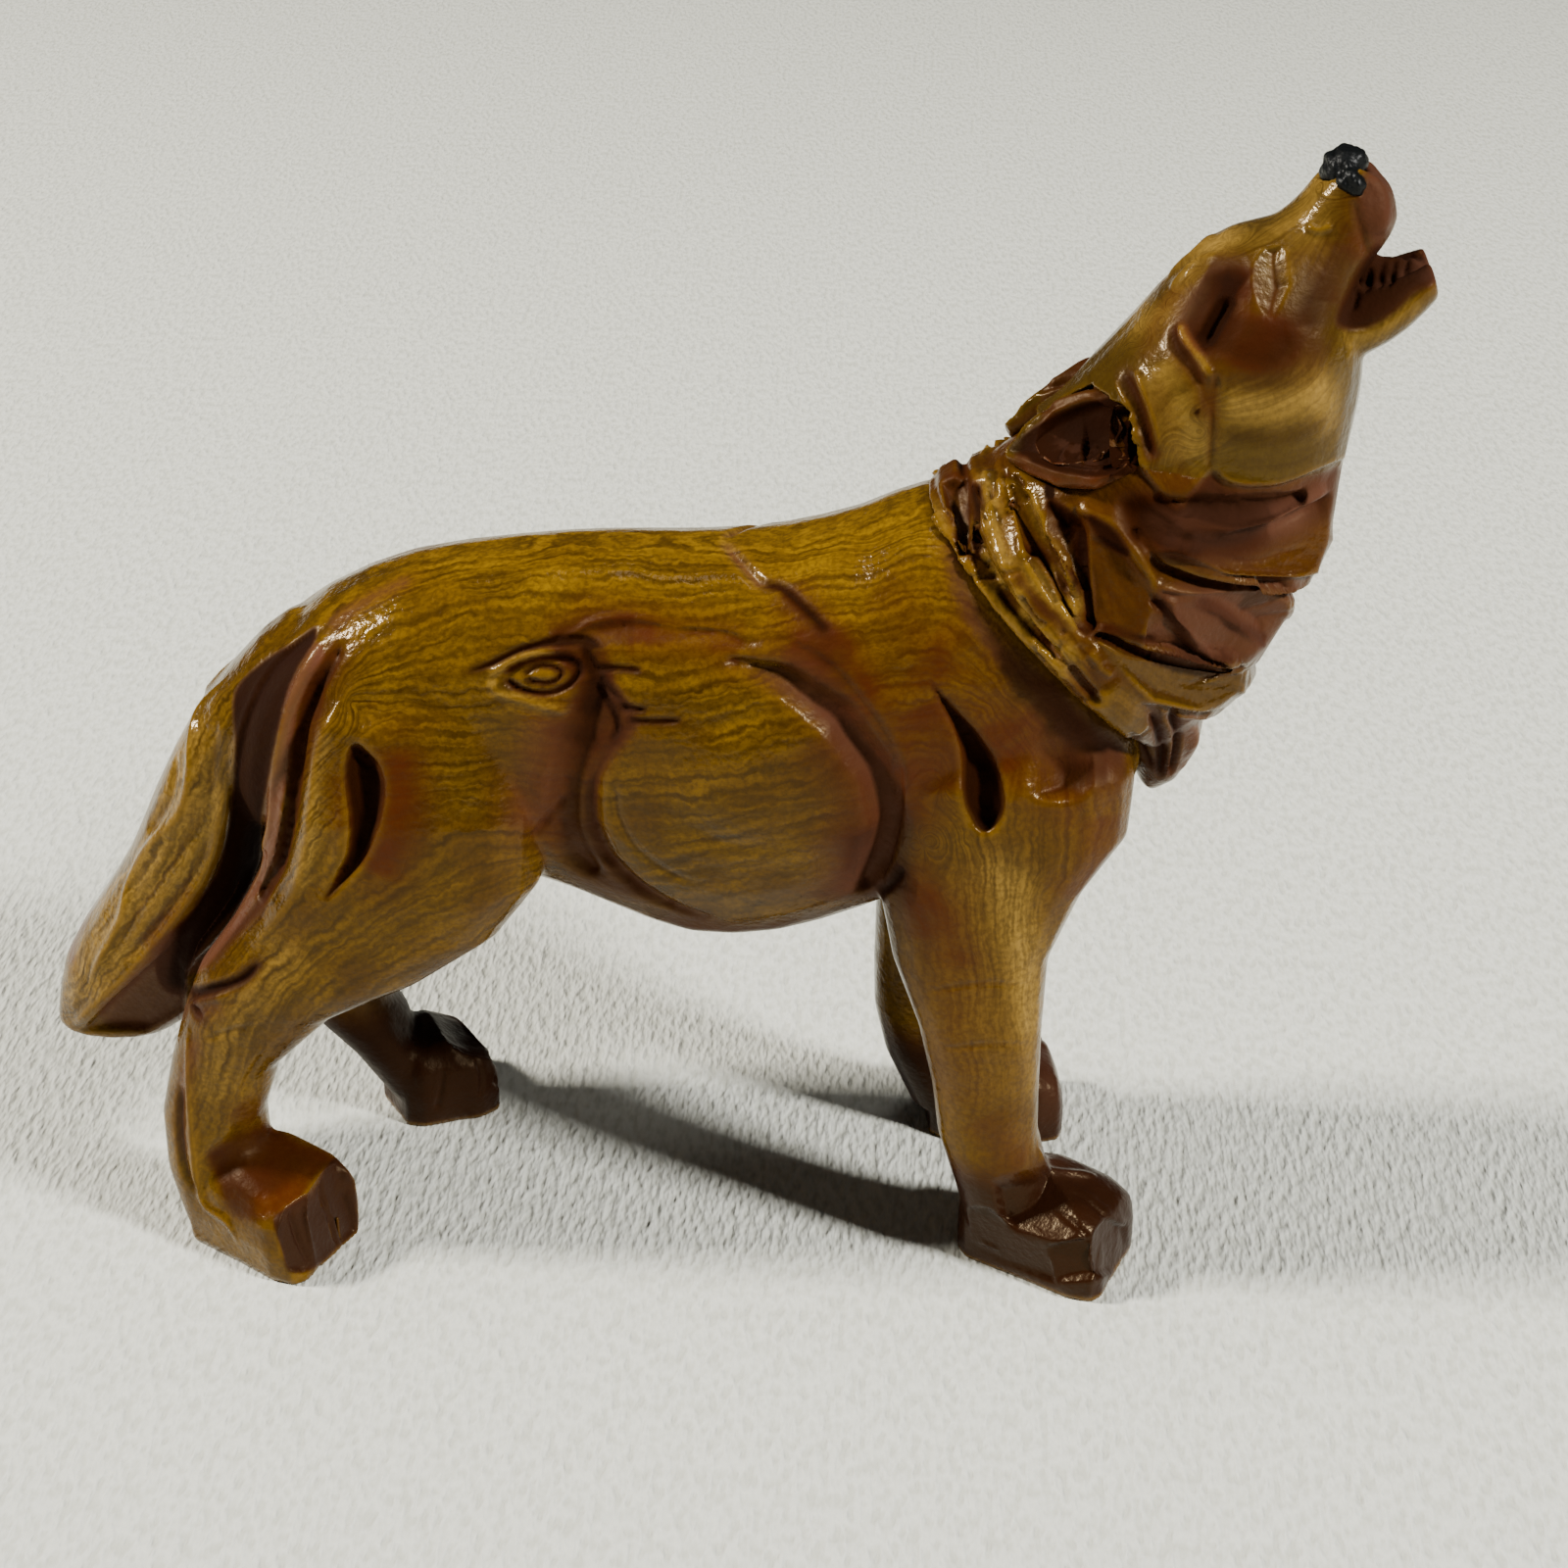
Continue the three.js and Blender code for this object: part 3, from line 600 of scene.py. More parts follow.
# the spindle-shaped slits in haunch and shoulder, which lie a little elsewhere on the left side
haunch_slit = [(363, 762), (374, 769), (385, 782), (391, 802), (388, 830), (381, 852), (370, 876),
               (352, 897), (333, 916), (345, 893), (356, 872), (359, 845), (355, 815), (352, 790),
               (355, 770)]
shoulder_slit = [(953, 701), (970, 723), (993, 746), (1009, 771), (1021, 799), (1023, 830),
                 (1005, 848), (993, 836), (984, 813), (984, 771), (976, 743), (963, 718)]
haunch_shift, shoulder_shift = (12, -14), (-8, 10)
body.hollow(haunch_slit, 0.45, 0.5, rings=0.1, pitch=0.8, shift=haunch_shift)
body.hollow(shoulder_slit, 0.45, 0.5, rings=0.1, pitch=0.8, shift=shoulder_shift)

# the hock and elbow nicks, and the nick across the back
hock_nick = [(190, 1015), (217, 1010), (246, 999), (266, 981)]
elbow_nick = [(922, 884), (912, 898), (896, 911)]
back_nick = [(740, 554), (758, 575), (778, 598)]
back_crack = [(776, 596), (797, 600), (820, 620), (846, 646)]
body.groove(hock_nick, 0.7, 0.6, sharp=True)
body.groove([(193, 1024), (218, 1018), (232, 1014)], 0.7, -0.4)
body.groove(elbow_nick, 0.8, 0.6, sharp=True)
body.groove(back_nick, 0.7, 0.6, ends=(0.3, 0.1))
body.groove(back_crack, 0.5, 0.35, sharp=True, ends=(0.1, 0.4))

# the rib cage: a low dome inside a gouged border, with the flank cut back beside it
rib_border = [(770, 684), (800, 696), (830, 714), (856, 736), (880, 764), (898, 794), (907, 822),
              (906, 850), (895, 883), (878, 912)]
body.groove(rib_border, 1.8, 0.25, ends=(0.25, 0.1))
body.ledge([(779, 645), (815, 656), (853, 680), (883, 714), (908, 750), (922, 790), (920, 833),
            (911, 872), (897, 908)], 0.2, 0.2, 4, 2, ends=(0.2, 0.1))
belly_border = [(614, 684), (630, 712), (643, 740), (622, 768), (606, 800), (606, 840), (622, 876),
                (654, 906), (690, 926), (730, 940)]
body.groove(belly_border, 0.8, 0.2, ends=(0.1, 0.3))
body.groove([(740, 740), (760, 800), (740, 860)], 7, -0.8, ends=(0.4, 0.4))
body.groove([(627, 795), (629, 826), (641, 854), (662, 877), (690, 894), (712, 901)], 0.6, 0.2)
body.ledge([(777, 647), (761, 642), (726, 638), (690, 635), (661, 629), (629, 626), (604, 631),
            (583, 645), (562, 655)], 0.15, 0.35, 2, 5, ends=(0.3, 0.05))
body.groove([(690, 645), (719, 644), (744, 648), (762, 661), (778, 672)], 0.6, 0.2)
body.groove([(578, 812), (561, 833), (540, 858)], 0.6, 0.3, sharp=True)

# the knot with its rings, and the short cracks beside it
knot_crack = [(474, 687), (504, 676), (529, 664), (561, 655), (594, 652), (612, 660)]
knot_top = [(499, 690), (513, 679), (535, 670), (565, 664), (592, 663)]
knot_bottom = [(499, 690), (508, 706), (536, 715), (565, 723), (584, 726)]
knot_ring = [(515, 688), (530, 678), (556, 671), (582, 674), (590, 684), (578, 700), (556, 708),
             (530, 704), (515, 692)]
knot_heart = [(534, 689), (545, 681), (562, 680), (572, 687), (563, 696), (546, 697), (536, 692)]
body.groove(knot_crack, 0.5, 0.35, sharp=True, ends=(0.3, 0.1))
body.groove(knot_bottom, 0.6, -0.3)
body.groove(knot_top, 0.5, -0.4)
body.groove(knot_ring, 0.5, 0.5, sharp=True, ends=(0.05, 0.05))
body.groove(knot_heart, 0.45, 0.45, sharp=True, ends=(0.05, 0.05))
cracks = [[(604, 683), (630, 682), (656, 684)], [(630, 722), (661, 726)],
          [(640, 736), (668, 737), (696, 736)], [(596, 660), (612, 692), (622, 706), (634, 716)],
          [(606, 690), (618, 712), (630, 740), (624, 756)]]
for crack in cracks:
    body.groove(crack, 0.45, 0.4, sharp=True, ends=(0.3, 0.3))
for crack in ([(943, 1013), (1000, 1004), (1056, 1007)], [(961, 1071), (1010, 1066), (1059, 1068)],
              [(207, 1062), (235, 1052), (262, 1046)], [(273, 1070), (256, 1095), (242, 1123)]):
    body.groove(crack, 0.4, 0.2, sharp=True, ends=(0.3, 0.3))

# long facets of the tail
for facet in ([(232, 690), (205, 722), (196, 755), (194, 791), (184, 830), (150, 868), (132, 905),
               (122, 945), (92, 1000)],
              [(232, 790), (226, 835), (210, 885), (184, 930), (148, 975), (112, 1012),
               (75, 1046)]):
    body.groove(facet, 0.9, -0.5, ends=(0.2, 0.1))
for flow in ([(222, 730), (216, 780), (208, 830), (176, 880), (140, 930), (104, 985)],
             [(218, 846), (198, 892), (160, 944), (124, 984)],
             [(180, 770), (172, 815), (150, 850)]):
    body.groove(flow, 0.9, 0.35)
body.facet([(196, 950), (186, 985), (188, 1030), (150, 1052), (84, 1052), (118, 1018),
            (160, 980)], 0.5, sides=(-1,))

# heel ridges, instep and toes of the hind paws; the left one stands further forward
hind_shift = (143, 8)
for ridge, depth in (([(192, 1041), (194, 1122), (198, 1178), (201, 1206), (211, 1230),
                       (231, 1246), (244, 1270)], -0.45),
                     ([(184, 1104), (184, 1159), (190, 1196), (205, 1222)], 0.5)):
    body.groove(ridge, 0.6, depth, shift=hind_shift)
hind_toes = [(279, 1246), (292, 1233), (318, 1215), (333, 1191), (347, 1183), (362, 1207),
             (370, 1233), (366, 1254), (346, 1272), (327, 1289), (310, 1298), (294, 1296),
             (288, 1276)]
instep = [(212, 1178), (240, 1160), (268, 1148), (281, 1150), (307, 1167), (333, 1174),
          (347, 1182), (331, 1191), (318, 1207), (307, 1224), (288, 1237), (270, 1244),
          (244, 1243), (231, 1230), (220, 1202)]
body.facet([(292, 1233), (318, 1215), (322, 1292), (310, 1298), (294, 1296), (284, 1262)], 0.1,
           shift=hind_shift)
body.facet([(318, 1215), (333, 1191), (347, 1183), (364, 1207), (370, 1240), (366, 1256),
            (322, 1292)], 0.2, shift=hind_shift)
body.hollow(instep, 0.5, 2, shift=hind_shift)
for cut in ([(303, 1236), (310, 1261), (317, 1288)], [(336, 1204), (342, 1235), (346, 1268)]):
    body.groove(cut, 0.4, 0.35, sharp=True, ends=(0.15, 0.05), shift=hind_shift)
body.hollow([(404, 1044), (430, 1036), (468, 1040), (490, 1058), (478, 1082), (450, 1090),
             (420, 1076)], 0.5, 2, sides=(-1,))
for cut in ([(452, 1092), (450, 1110), (446, 1132)], [(486, 1078), (492, 1100), (490, 1118)]):
    body.groove(cut, 0.4, 0.3, sharp=True, ends=(0.15, 0.05), sides=(-1,))

# planed faces and toes of the fore paws, of which the left one stands further back, and a flat
# under the mane, both leant towards the window on the tail side
fore_shift = (-53, 9)
paw_lean, shoulder_lean = (-0.33, -0.5, 0.8), (-0.38, -0.69, 0.616)
body.facet([(1006, 1234), (1044, 1258), (1069, 1272), (1076, 1309), (1022, 1288), (992, 1271),
            (988, 1234)], 0.2, shift=fore_shift)
body.facet([(1069, 1272), (1112, 1264), (1119, 1304), (1076, 1309)], 0.2, shift=fore_shift)
body.facet([(1112, 1260), (1131, 1243), (1149, 1252), (1151, 1276), (1142, 1295), (1119, 1304)],
           0.2, shift=fore_shift)
body.facet([(1013, 1205), (1058, 1193), (1082, 1198), (1112, 1216), (1133, 1234), (1112, 1262),
            (1069, 1272), (1039, 1254), (1020, 1238)], 0.35, turned=paw_lean,
           shift=fore_shift)
body.facet([(1066, 770), (1140, 766), (1148, 800), (1100, 816), (1062, 806)], 0.1, 3,
           turned=shoulder_lean)
body.groove([(1075, 1231), (1095, 1248), (1108, 1260), (1116, 1275), (1119, 1303)], 0.4, 0.35,
            sharp=True, ends=(0.3, 0.05), shift=fore_shift)
body.groove([(1090, 1215), (1110, 1226), (1132, 1246)], 0.4, 0.25, sharp=True, shift=fore_shift)
body.groove([(1058, 1170), (1066, 1190), (1080, 1196), (1120, 1200)], 0.7, -0.4,
            shift=fore_shift)
body.finish()

# airbrushed stain: dark in the gouges, red-brown round them, paws dipped dark
valley = [(322, 640), (300, 655), (270, 674), (248, 694), (238, 715), (240, 760), (238, 815),
          (233, 850), (222, 890), (200, 925), (178, 950), (160, 985), (170, 1010), (187, 1012),
          (192, 993), (215, 955), (237, 930), (254, 908), (264, 880), (267, 835), (275, 790),
          (284, 745), (292, 712), (304, 682), (320, 657)]
body.fill(valley, 0.3, (0.9, 0.98, 0))
body.fill([(178, 950), (145, 980), (120, 1008), (100, 1034), (140, 1052), (186, 1040), (188, 1012),
           (172, 1000)], 0.5, (0.7, 0.35, 0.5), sides=(-1,))
fold = [(322, 657), (302, 690), (294, 708), (286, 745), (277, 790), (270, 832), (267, 868),
        (262, 892), (236, 932), (214, 958), (192, 990), (206, 990), (226, 966), (248, 936),
        (268, 902), (282, 870), (286, 830), (294, 790), (298, 755), (304, 722), (314, 696),
        (330, 668)]
body.fill(fold, 0.3, (0.6, -0.6, 0.95))
body.brush(fold_floor, 1.3, (1.0, 0.5, 0))
body.brush([(352, 660), (330, 695), (318, 735)], 2, (0.8, 0.15, 0))
body.brush([(420, 590), (370, 615), (335, 640)], 1.6, (0.45, 0, 0.35))
body.brush([(96, 915), (78, 945), (72, 985)], 1.6, (0.3, 0.1, 0.9, -0.5))
body.brush([(205, 905), (180, 935), (150, 968)], 1.6, (0.6, 0.1, 0), sides=(-1,))
# the tail's upper faces are made pale: painted top light, lighter where light falls from above
body.brush([(215, 720), (180, 790), (160, 860), (120, 920), (90, 980), (75, 1030)], 5,
           (0, 0, 0, 0.75), ends=(0.2, 0.05))
body.brush([(225, 800), (205, 870), (165, 930), (120, 990)], 2, (0, 0, 0, 0.5))
body.brush([(330, 740), (322, 790), (318, 850), (305, 905)], 1.2, (0, 0, 0, 0.7))
body.brush([(300, 960), (230, 1060), (215, 1130)], 3.5, (0, 0, 0, 0.45))
body.brush([(1036, 880), (1050, 980), (1058, 1120)], 2.6, (0, 0, 0, 0.6))
body.brush([(940, 900), (962, 1000), (980, 1130)], 4, (0.45, 0.1, 0, 0.2))
body.brush([(985, 880), (1000, 980), (1014, 1130)], 3, (0.2, 0.1, 0, 0.3))
body.brush([(1010, 870), (1034, 960), (1050, 1060)], 2.2, (0, 0, 0, 0.5))
body.brush([(1000, 1140), (1024, 1170), (1050, 1180)], 3, (0.6, 0.1, 0))
body.brush([(930, 880), (960, 930), (985, 990)], 2.6, (0.45, 0.05, 0))
body.fill(haunch_slit, 0.5, (0.8, 0.95, 0), shift=haunch_shift)
body.brush([(404, 760), (408, 830), (384, 896)], 3.4, (0.95, 0.15, 0))
body.brush([(345, 790), (348, 850)], 1.8, (0.45, 0, 0))
body.fill(shoulder_slit, 0.5, (0.8, 1.0, 0), shift=shoulder_shift)
body.brush([(945, 715), (965, 760), (972, 810)], 3.4, (0.75, 0.15, 0))
body.brush([(1005, 740), (1030, 790)], 3, (0.5, 0.05, 0))
body.brush(hock_nick, 1.0, (0.8, 0.9, 0))
body.brush([(196, 1030), (225, 1022)], 1.8, (0.7, 0.15, 0.1))
body.brush(elbow_nick, 1.1, (0.8, 0.9, 0))
# pale and rose along the nick across the back; the pale is a painted highlight on its edge
body.brush(back_nick, 0.8, (0.2, 0, 0.3, 0.8))
body.brush(back_crack, 0.9, (0.6, 0.7, 0))
body.brush([(800, 600), (830, 640), (860, 680)], 3.2, (0.6, 0.2, 0))
body.brush(rib_border, 2.1, (0.7, 0.45, 0.5), ends=(0.3, 0.05))
body.brush([(800, 655), (853, 680), (890, 720), (915, 760), (930, 800), (930, 850)], 3.4,
           (0.8, 0.15, 0))
body.brush([(830, 690), (870, 690)], 4, (0.7, 0.15, 0))
body.brush([(840, 745), (878, 810), (870, 860)], 3.6, (0.7, 0.2, 0.05))
body.brush([(860, 850), (865, 890), (840, 920)], 4, (0.5, 0.35, 0.25))
body.brush([(884, 850), (880, 885)], 1.8, (0.6, 0.7, 0))
body.brush([(690, 945), (760, 950), (830, 940), (885, 925)], 3.8, (0.75, 0.4, 0.2))
flank = [(586, 728), (612, 700), (632, 720), (640, 744), (616, 770), (602, 806), (606, 846),
         (622, 884), (660, 918), (600, 905), (574, 878), (548, 850), (552, 812), (562, 772),
         (570, 744)]
body.fill(flank, 1.8, (0.8, 0.4, 0.1))
body.brush([(560, 730), (545, 790), (530, 850)], 3, (0.6, 0.05, 0.25))
body.brush(belly_border, 1.0, (0.5, 0.35, 0.2))
body.brush([(562, 655), (583, 647), (610, 638), (650, 640)], 2.8, (0.9, 0.4, 0))
body.brush([(640, 645), (700, 650), (760, 660)], 3, (0.8, 0.15, 0))
body.brush([(590, 670), (600, 720), (585, 760)], 2.8, (0.8, 0.4, 0))
body.brush(knot_crack, 0.5, (0.5, 0.9, 0))
body.brush(knot_top, 0.5, (0, -0.2, 0, 0.8))
body.brush(knot_bottom, 0.6, (0, 0, 0, 0.8))
body.brush(knot_ring, 0.45, (0.6, 0.7, 0), ends=(0.02, 0.02))
body.brush(knot_heart, 0.4, (0.5, 0.7, 0), ends=(0.02, 0.02))
body.fill([(556, 655), (604, 652), (624, 690), (606, 726), (590, 722), (596, 690)], 0.8,
          (0.8, 0.35, 0))
for crack in cracks:
    body.brush(crack, 0.55, (0.5, 0.8, 0))
body.brush([(960, 500), (972, 560), (985, 610), (1010, 650), (1040, 684), (1075, 712),
            (1105, 745), (1150, 775)], 1.6, (0.6, 0.5, 0.2), ends=(0.3, 0.05))
body.brush([(1050, 720), (1100, 765), (1150, 790)], 4, (0.65, 0.3, 0.15))
body.brush([(1030, 760), (1060, 800), (1110, 820)], 5, (0.5, 0, 0))
body.brush([(1080, 780), (1130, 792)], 2.4, (0.3, 0.3, 0))
body.brush([(940, 660), (1000, 700), (1050, 740)], 6, (0.5, 0.1, 0))
body.brush([(890, 600), (940, 640), (960, 700)], 5, (0.3, 0.05, 0))
body.brush([(1130, 830), (1120, 880), (1090, 920)], 4, (0.65, 0.2, 0.1))
body.brush([(925, 900), (940, 960)], 3, (0.5, 0.05, 0))
body.brush([(200, 1060), (185, 1120), (185, 1180)], 1.2, (0.45, 0.1, 0.4))
body.brush([(1062, 1060), (1072, 1110), (1064, 1160)], 3, (0.7, 0.5, 0.3))

# the fore paws and the left hind one are dipped up to some height, but worn at the soles' edge
fore_dip, hind_dip, worn_height = 14.5, 17, 0.4
leftward = body_skin.spots[:, 1] > wolf_middle
fore = body_skin.spots[:, 0] > 0
level = body_skin.spots[:, 2]
dipped = (smoothstep((fore_dip - level) / 5) * fore
          + smoothstep((hind_dip - level) / 6) * (~fore & leftward))
worn_edge = smoothstep((level - worn_height) / 0.5)
body.stain_and_painted_light += (dipped * (0.2 + 0.8 * worn_edge))[:, None] * np.array((1.0, 1.0, 0.06, 0))
body.fill(hind_toes, 0.25, (0.9, 1.0, 0.12), shift=hind_shift)
body.fill(instep, 0.6, (0.95, 0.6, 0), shift=hind_shift)
body.brush([(256, 1232), (284, 1226), (318, 1200)], 1.5, (-0.15, -0.8, 0), sides=(-1,))
body.brush([(240, 1130), (262, 1140)], 2.4, (0.6, 0.2, 0), sides=(-1,))

# guide lines of the painted grain, each with its distance across the grain in millimetres
grain_lines = [
    (0, [(330, 600), (400, 570), (480, 555), (600, 547), (720, 548), (820, 532), (900, 508),
         (945, 490)]),
    (6, [(930, 560), (820, 585), (700, 592), (580, 592), (470, 603), (400, 630), (350, 680),
         (332, 740)]),
    (14, [(960, 640), (900, 652), (800, 670), (700, 688), (600, 700), (500, 704), (430, 706),
          (372, 714), (350, 722)]),
    (20, [(1000, 726), (930, 722), (840, 737), (740, 755), (640, 770), (540, 766), (480, 766),
          (425, 770), (370, 777), (335, 790)]),
    (25, [(960, 800), (900, 797), (840, 806), (740, 825), (640, 834), (560, 830), (500, 824),
          (430, 826), (370, 846), (320, 900), (270, 960), (230, 1010), (205, 1070), (200, 1150)]),
    (28, [(950, 828), (900, 830), (840, 840), (740, 858), (640, 868), (580, 850), (500, 850),
          (459, 856), (436, 874), (395, 905), (340, 950), (290, 990), (250, 1040), (230, 1120)]),
    (32, [(940, 862), (900, 874), (840, 880), (740, 898), (650, 908), (595, 888), (540, 880),
          (486, 896), (445, 919), (404, 946), (368, 969), (322, 996), (286, 1033), (260, 1100),
          (250, 1160)]),
    (36, [(880, 922), (760, 945), (690, 945), (560, 906), (500, 945), (430, 985), (370, 1014),
          (320, 1060), (285, 1105)]),
    (20, [(1000, 726), (1040, 800), (1030, 900), (1030, 1000), (1040, 1100), (1045, 1160)]),
    (26, [(965, 802), (985, 870), (992, 950), (1002, 1050), (1012, 1150)]),
    (31, [(945, 860), (955, 950), (972, 1050), (988, 1150)]),
    (14, [(960, 640), (1040, 720), (1090, 800), (1072, 900), (1060, 1000), (1062, 1100)]),
    (0, [(222, 690), (195, 740), (165, 820), (140, 880), (100, 930), (80, 990)]),
    (5, [(240, 745), (215, 820), (195, 880), (160, 930), (110, 990), (80, 1035)]),
    (9, [(235, 860), (215, 910), (180, 960), (140, 1010), (100, 1045)]),
]
body.store(flow_field(body_skin, body.surface, grain_lines))


# Finish of the castings: polyester casting resin, painted honey yellow with an olive-brown grain,
# airbrushed with red-brown and dark brown stain and dipped in clear gloss varnish. The eye sees
# fine dark lines under a wet-looking, slightly uneven coat.
grain_pitch = 1.4


def stained_resin(name, honey, light_honey_and_top_light, grain_share, streak):
    """The finish with grain lines of some strength and fibres of some fineness."""
    made, tree, surface = new_material(name, **{"IOR": 1.34, "Specular IOR Level": 0.42})
    place = add(tree, "ShaderNodeTexCoord", out="Object")
    level = add(tree, "ShaderNodeSeparateXYZ", {0: place}, out="Z")
    stain_and_painted_light = add(tree, "ShaderNodeAttribute", out="Color", attribute_name="stain_and_painted_light")
    pale_stain_and_painted_light = stain_and_painted_light.node.outputs["Alpha"]
    red, dark, rose = list(add(tree, "ShaderNodeSeparateColor", {0: stain_and_painted_light}).node.outputs)
    carved = add(tree, "ShaderNodeAttribute", out="Vector", attribute_name="carved")
    grain, cavity, _ = list(add(tree, "ShaderNodeSeparateXYZ", {0: carved}).node.outputs)

    # noises, by the size of their blots in millimetres and their detail
    wander, ragged, patches, strand, mottle, clouds_and_top_light, grit, swells = [
        add(tree, "ShaderNodeTexNoise", {
            "Vector": place, "Scale": 1 / (wide * mm), "Detail": detail})
        for wide, detail in ((9, 1.0), (1.3, 5.0), (3.5, 2.0), (14, 0.0), (0.5, 3.0), (7, 3.0),
                             (0.6, 2.0), (2.2, 0.0))]

    # painted lines, drifting and breaking up as brushed ones do, and faint on the legs, most of
    # all on the fore legs
    drift = add(tree, "ShaderNodeMath", {0: wander, 1: 2.4, 2: grain}, operation="MULTIPLY_ADD")
    drift = add(tree, "ShaderNodeMath", {0: ragged, 1: 1.5, 2: drift}, operation="MULTIPLY_ADD")
    turns = add(tree, "ShaderNodeMath", {
        0: drift, 1: 2 * math.pi / grain_pitch}, operation="MULTIPLY")
    wave = add(tree, "ShaderNodeMath", {0: turns}, operation="SINE")
    line = add(tree, "ShaderNodeMapRange", {0: wave, 1: 0.1, 2: 1.0}, clamp=True)
    broken = add(tree, "ShaderNodeMapRange", {
        0: patches, 1: 0.38, 2: 0.58, 3: 0.25 * grain_share, 4: grain_share}, clamp=True)
    slant = add(tree, "ShaderNodeVectorMath", {
        0: place, 1: (-0.35, 0, 1)}, out="Value", operation="DOT_PRODUCT")
    fading = add(tree, "ShaderNodeMapRange", {
        0: slant, 1: 8 * mm, 2: 42 * mm, 3: 0.25, 4: 1.0}, clamp=True)
    line = add(tree, "ShaderNodeMath", {0: line, 1: broken}, operation="MULTIPLY")
    line = add(tree, "ShaderNodeMath", {0: line, 1: fading}, operation="MULTIPLY")

    # fibres run with the lines: a noise drawn out along them, and fine mottling over it
    across = add(tree, "ShaderNodeMath", {0: drift, 1: streak}, operation="MULTIPLY")
    strand = add(tree, "ShaderNodeMath", {0: strand, 1: 5.0}, operation="MULTIPLY")
    drawn_out = add(tree, "ShaderNodeCombineXYZ", {"X": across, "Y": strand})
    fibre = add(tree, "ShaderNodeTexNoise", {"Vector": drawn_out, "Scale": 1.0, "Detail": 4.0})
    fibre = add(tree, "ShaderNodeMapRange", {
        0: fibre, 1: 0.42, 2: 0.68, 3: 0.0, 4: 0.6 + 0.25 * grain_share}, clamp=True)
    fibre = add(tree, "ShaderNodeMath", {0: fibre, 1: fading}, operation="MULTIPLY")
    mottle = add(tree, "ShaderNodeMapRange", {
        0: mottle, 1: 0.42, 2: 0.62, 3: 0.0, 4: 0.25 + 0.25 * grain_share}, clamp=True)

    # the ground is honey yellow in clouds, and painted lighter higher up, over the back: painted
    # top light
    clouds_and_top_light = add(tree, "ShaderNodeMapRange", {
        0: clouds_and_top_light, 1: 0.38, 2: 0.62, 3: 0.0, 4: 0.5}, clamp=True)
    painted_top_light = add(tree, "ShaderNodeMapRange", {0: level, 1: 55 * mm, 2: 80 * mm}, clamp=True)
    clouds_and_top_light = add(tree, "ShaderNodeMath", {0: clouds_and_top_light, 1: painted_top_light}, operation="ADD", use_clamp=True)

    # red-brown, dark brown and rose stain, patchy, gathers in the gouges and is rubbed off edges
    settled = add(tree, "ShaderNodeMapRange", {
        0: cavity, 1: 0.54, 2: 0.8, 3: 0.0, 4: 0.5}, clamp=True)
    uneven = add(tree, "ShaderNodeMapRange", {
        0: patches, 1: 0.3, 2: 0.7, 3: 0.65, 4: 1.0}, clamp=True)
    red = add(tree, "ShaderNodeMath", {0: red, 1: settled}, operation="ADD", use_clamp=True)
    red = add(tree, "ShaderNodeMath", {0: red, 1: uneven}, operation="MULTIPLY")
    dark = add(tree, "ShaderNodeMath", {
        0: settled, 1: 0.5, 2: dark}, operation="MULTIPLY_ADD", use_clamp=True)
    dark_share = add(tree, "ShaderNodeMath", {0: dark, 1: 0.92}, operation="MULTIPLY")
    rose = add(tree, "ShaderNodeMath", {0: rose, 1: 0.8}, operation="MULTIPLY")
    worn = add(tree, "ShaderNodeMapRange", {
        0: cavity, 1: 0.45, 2: 0.3, 3: 0.0, 4: 0.4}, clamp=True)
    bare = add(tree, "ShaderNodeMath", {0: 1.0, 1: dark}, operation="SUBTRACT")
    bare = add(tree, "ShaderNodeMath", {
        0: red, 1: -0.8, 2: bare}, operation="MULTIPLY_ADD", use_clamp=True)
    worn = add(tree, "ShaderNodeMath", {0: worn, 1: bare}, operation="MULTIPLY")

    # the coats, one over the other; the light honey carries painted top light, and the pale carries
    # some painted top light and painted highlights
    paint = linear(honey)
    for share, tint in ((clouds_and_top_light, light_honey_and_top_light), (pale_stain_and_painted_light, "#86682c"), (fibre, "#2c1c05"),
                        (mottle, "#2a1905"), (line, "#241503"), (red, "#431a05"),
                        (dark_share, "#180802"), (rose, "#563628"), (worn, "#70500c")):
        paint = add(tree, "ShaderNodeMix", {
            0: share, 6: paint, 7: linear(tint)}, out=2, data_type="RGBA")
    tree.links.new(paint, surface.inputs["Base Color"])

    # the varnish has sunk into the stained gouges, which are duller, but not on the dipped paws,
    # and stands a little uneven elsewhere, which breaks up its highlights
    sunk = add(tree, "ShaderNodeMath", {
        0: red, 1: 0.25, 2: dark}, operation="MULTIPLY_ADD", use_clamp=True)
    sunk = add(tree, "ShaderNodeMath", {0: sunk, 1: fading}, operation="MULTIPLY")
    sheen = add(tree, "ShaderNodeMix", {
        0: sunk, 6: linear("#ffe0b0"), 7: linear("#1c120c")}, out=2, data_type="RGBA")
    rough = add(tree, "ShaderNodeMapRange", {0: sunk, 3: 0.16, 4: 0.75}, clamp=True)
    tree.links.new(sheen, surface.inputs["Specular Tint"])
    tree.links.new(rough, surface.inputs["Roughness"])
    relief = add(tree, "ShaderNodeMath", {0: line, 1: -0.3, 2: grit}, operation="MULTIPLY_ADD")
    relief = add(tree, "ShaderNodeMath", {0: swells, 1: 1.6, 2: relief}, operation="MULTIPLY_ADD")
    bump = add(tree, "ShaderNodeBump", {
        "Height": relief, "Strength": 0.5, "Distance": 0.15 * mm})
    tree.links.new(bump, surface.inputs["Normal"])
    return made


honey_resin = stained_resin("honey_stained_resin_gloss_varnish", "#472e06", "#71530b", 0.6, 1.6)

# Joints. The real ones are filled and can't be seen; they are taken to follow the carved creases
# and the limb roots. The castings are sawn out of the carved skins where the solids are parted,
# and the faces of each saw cut are kept flat.
cut_planes = {}


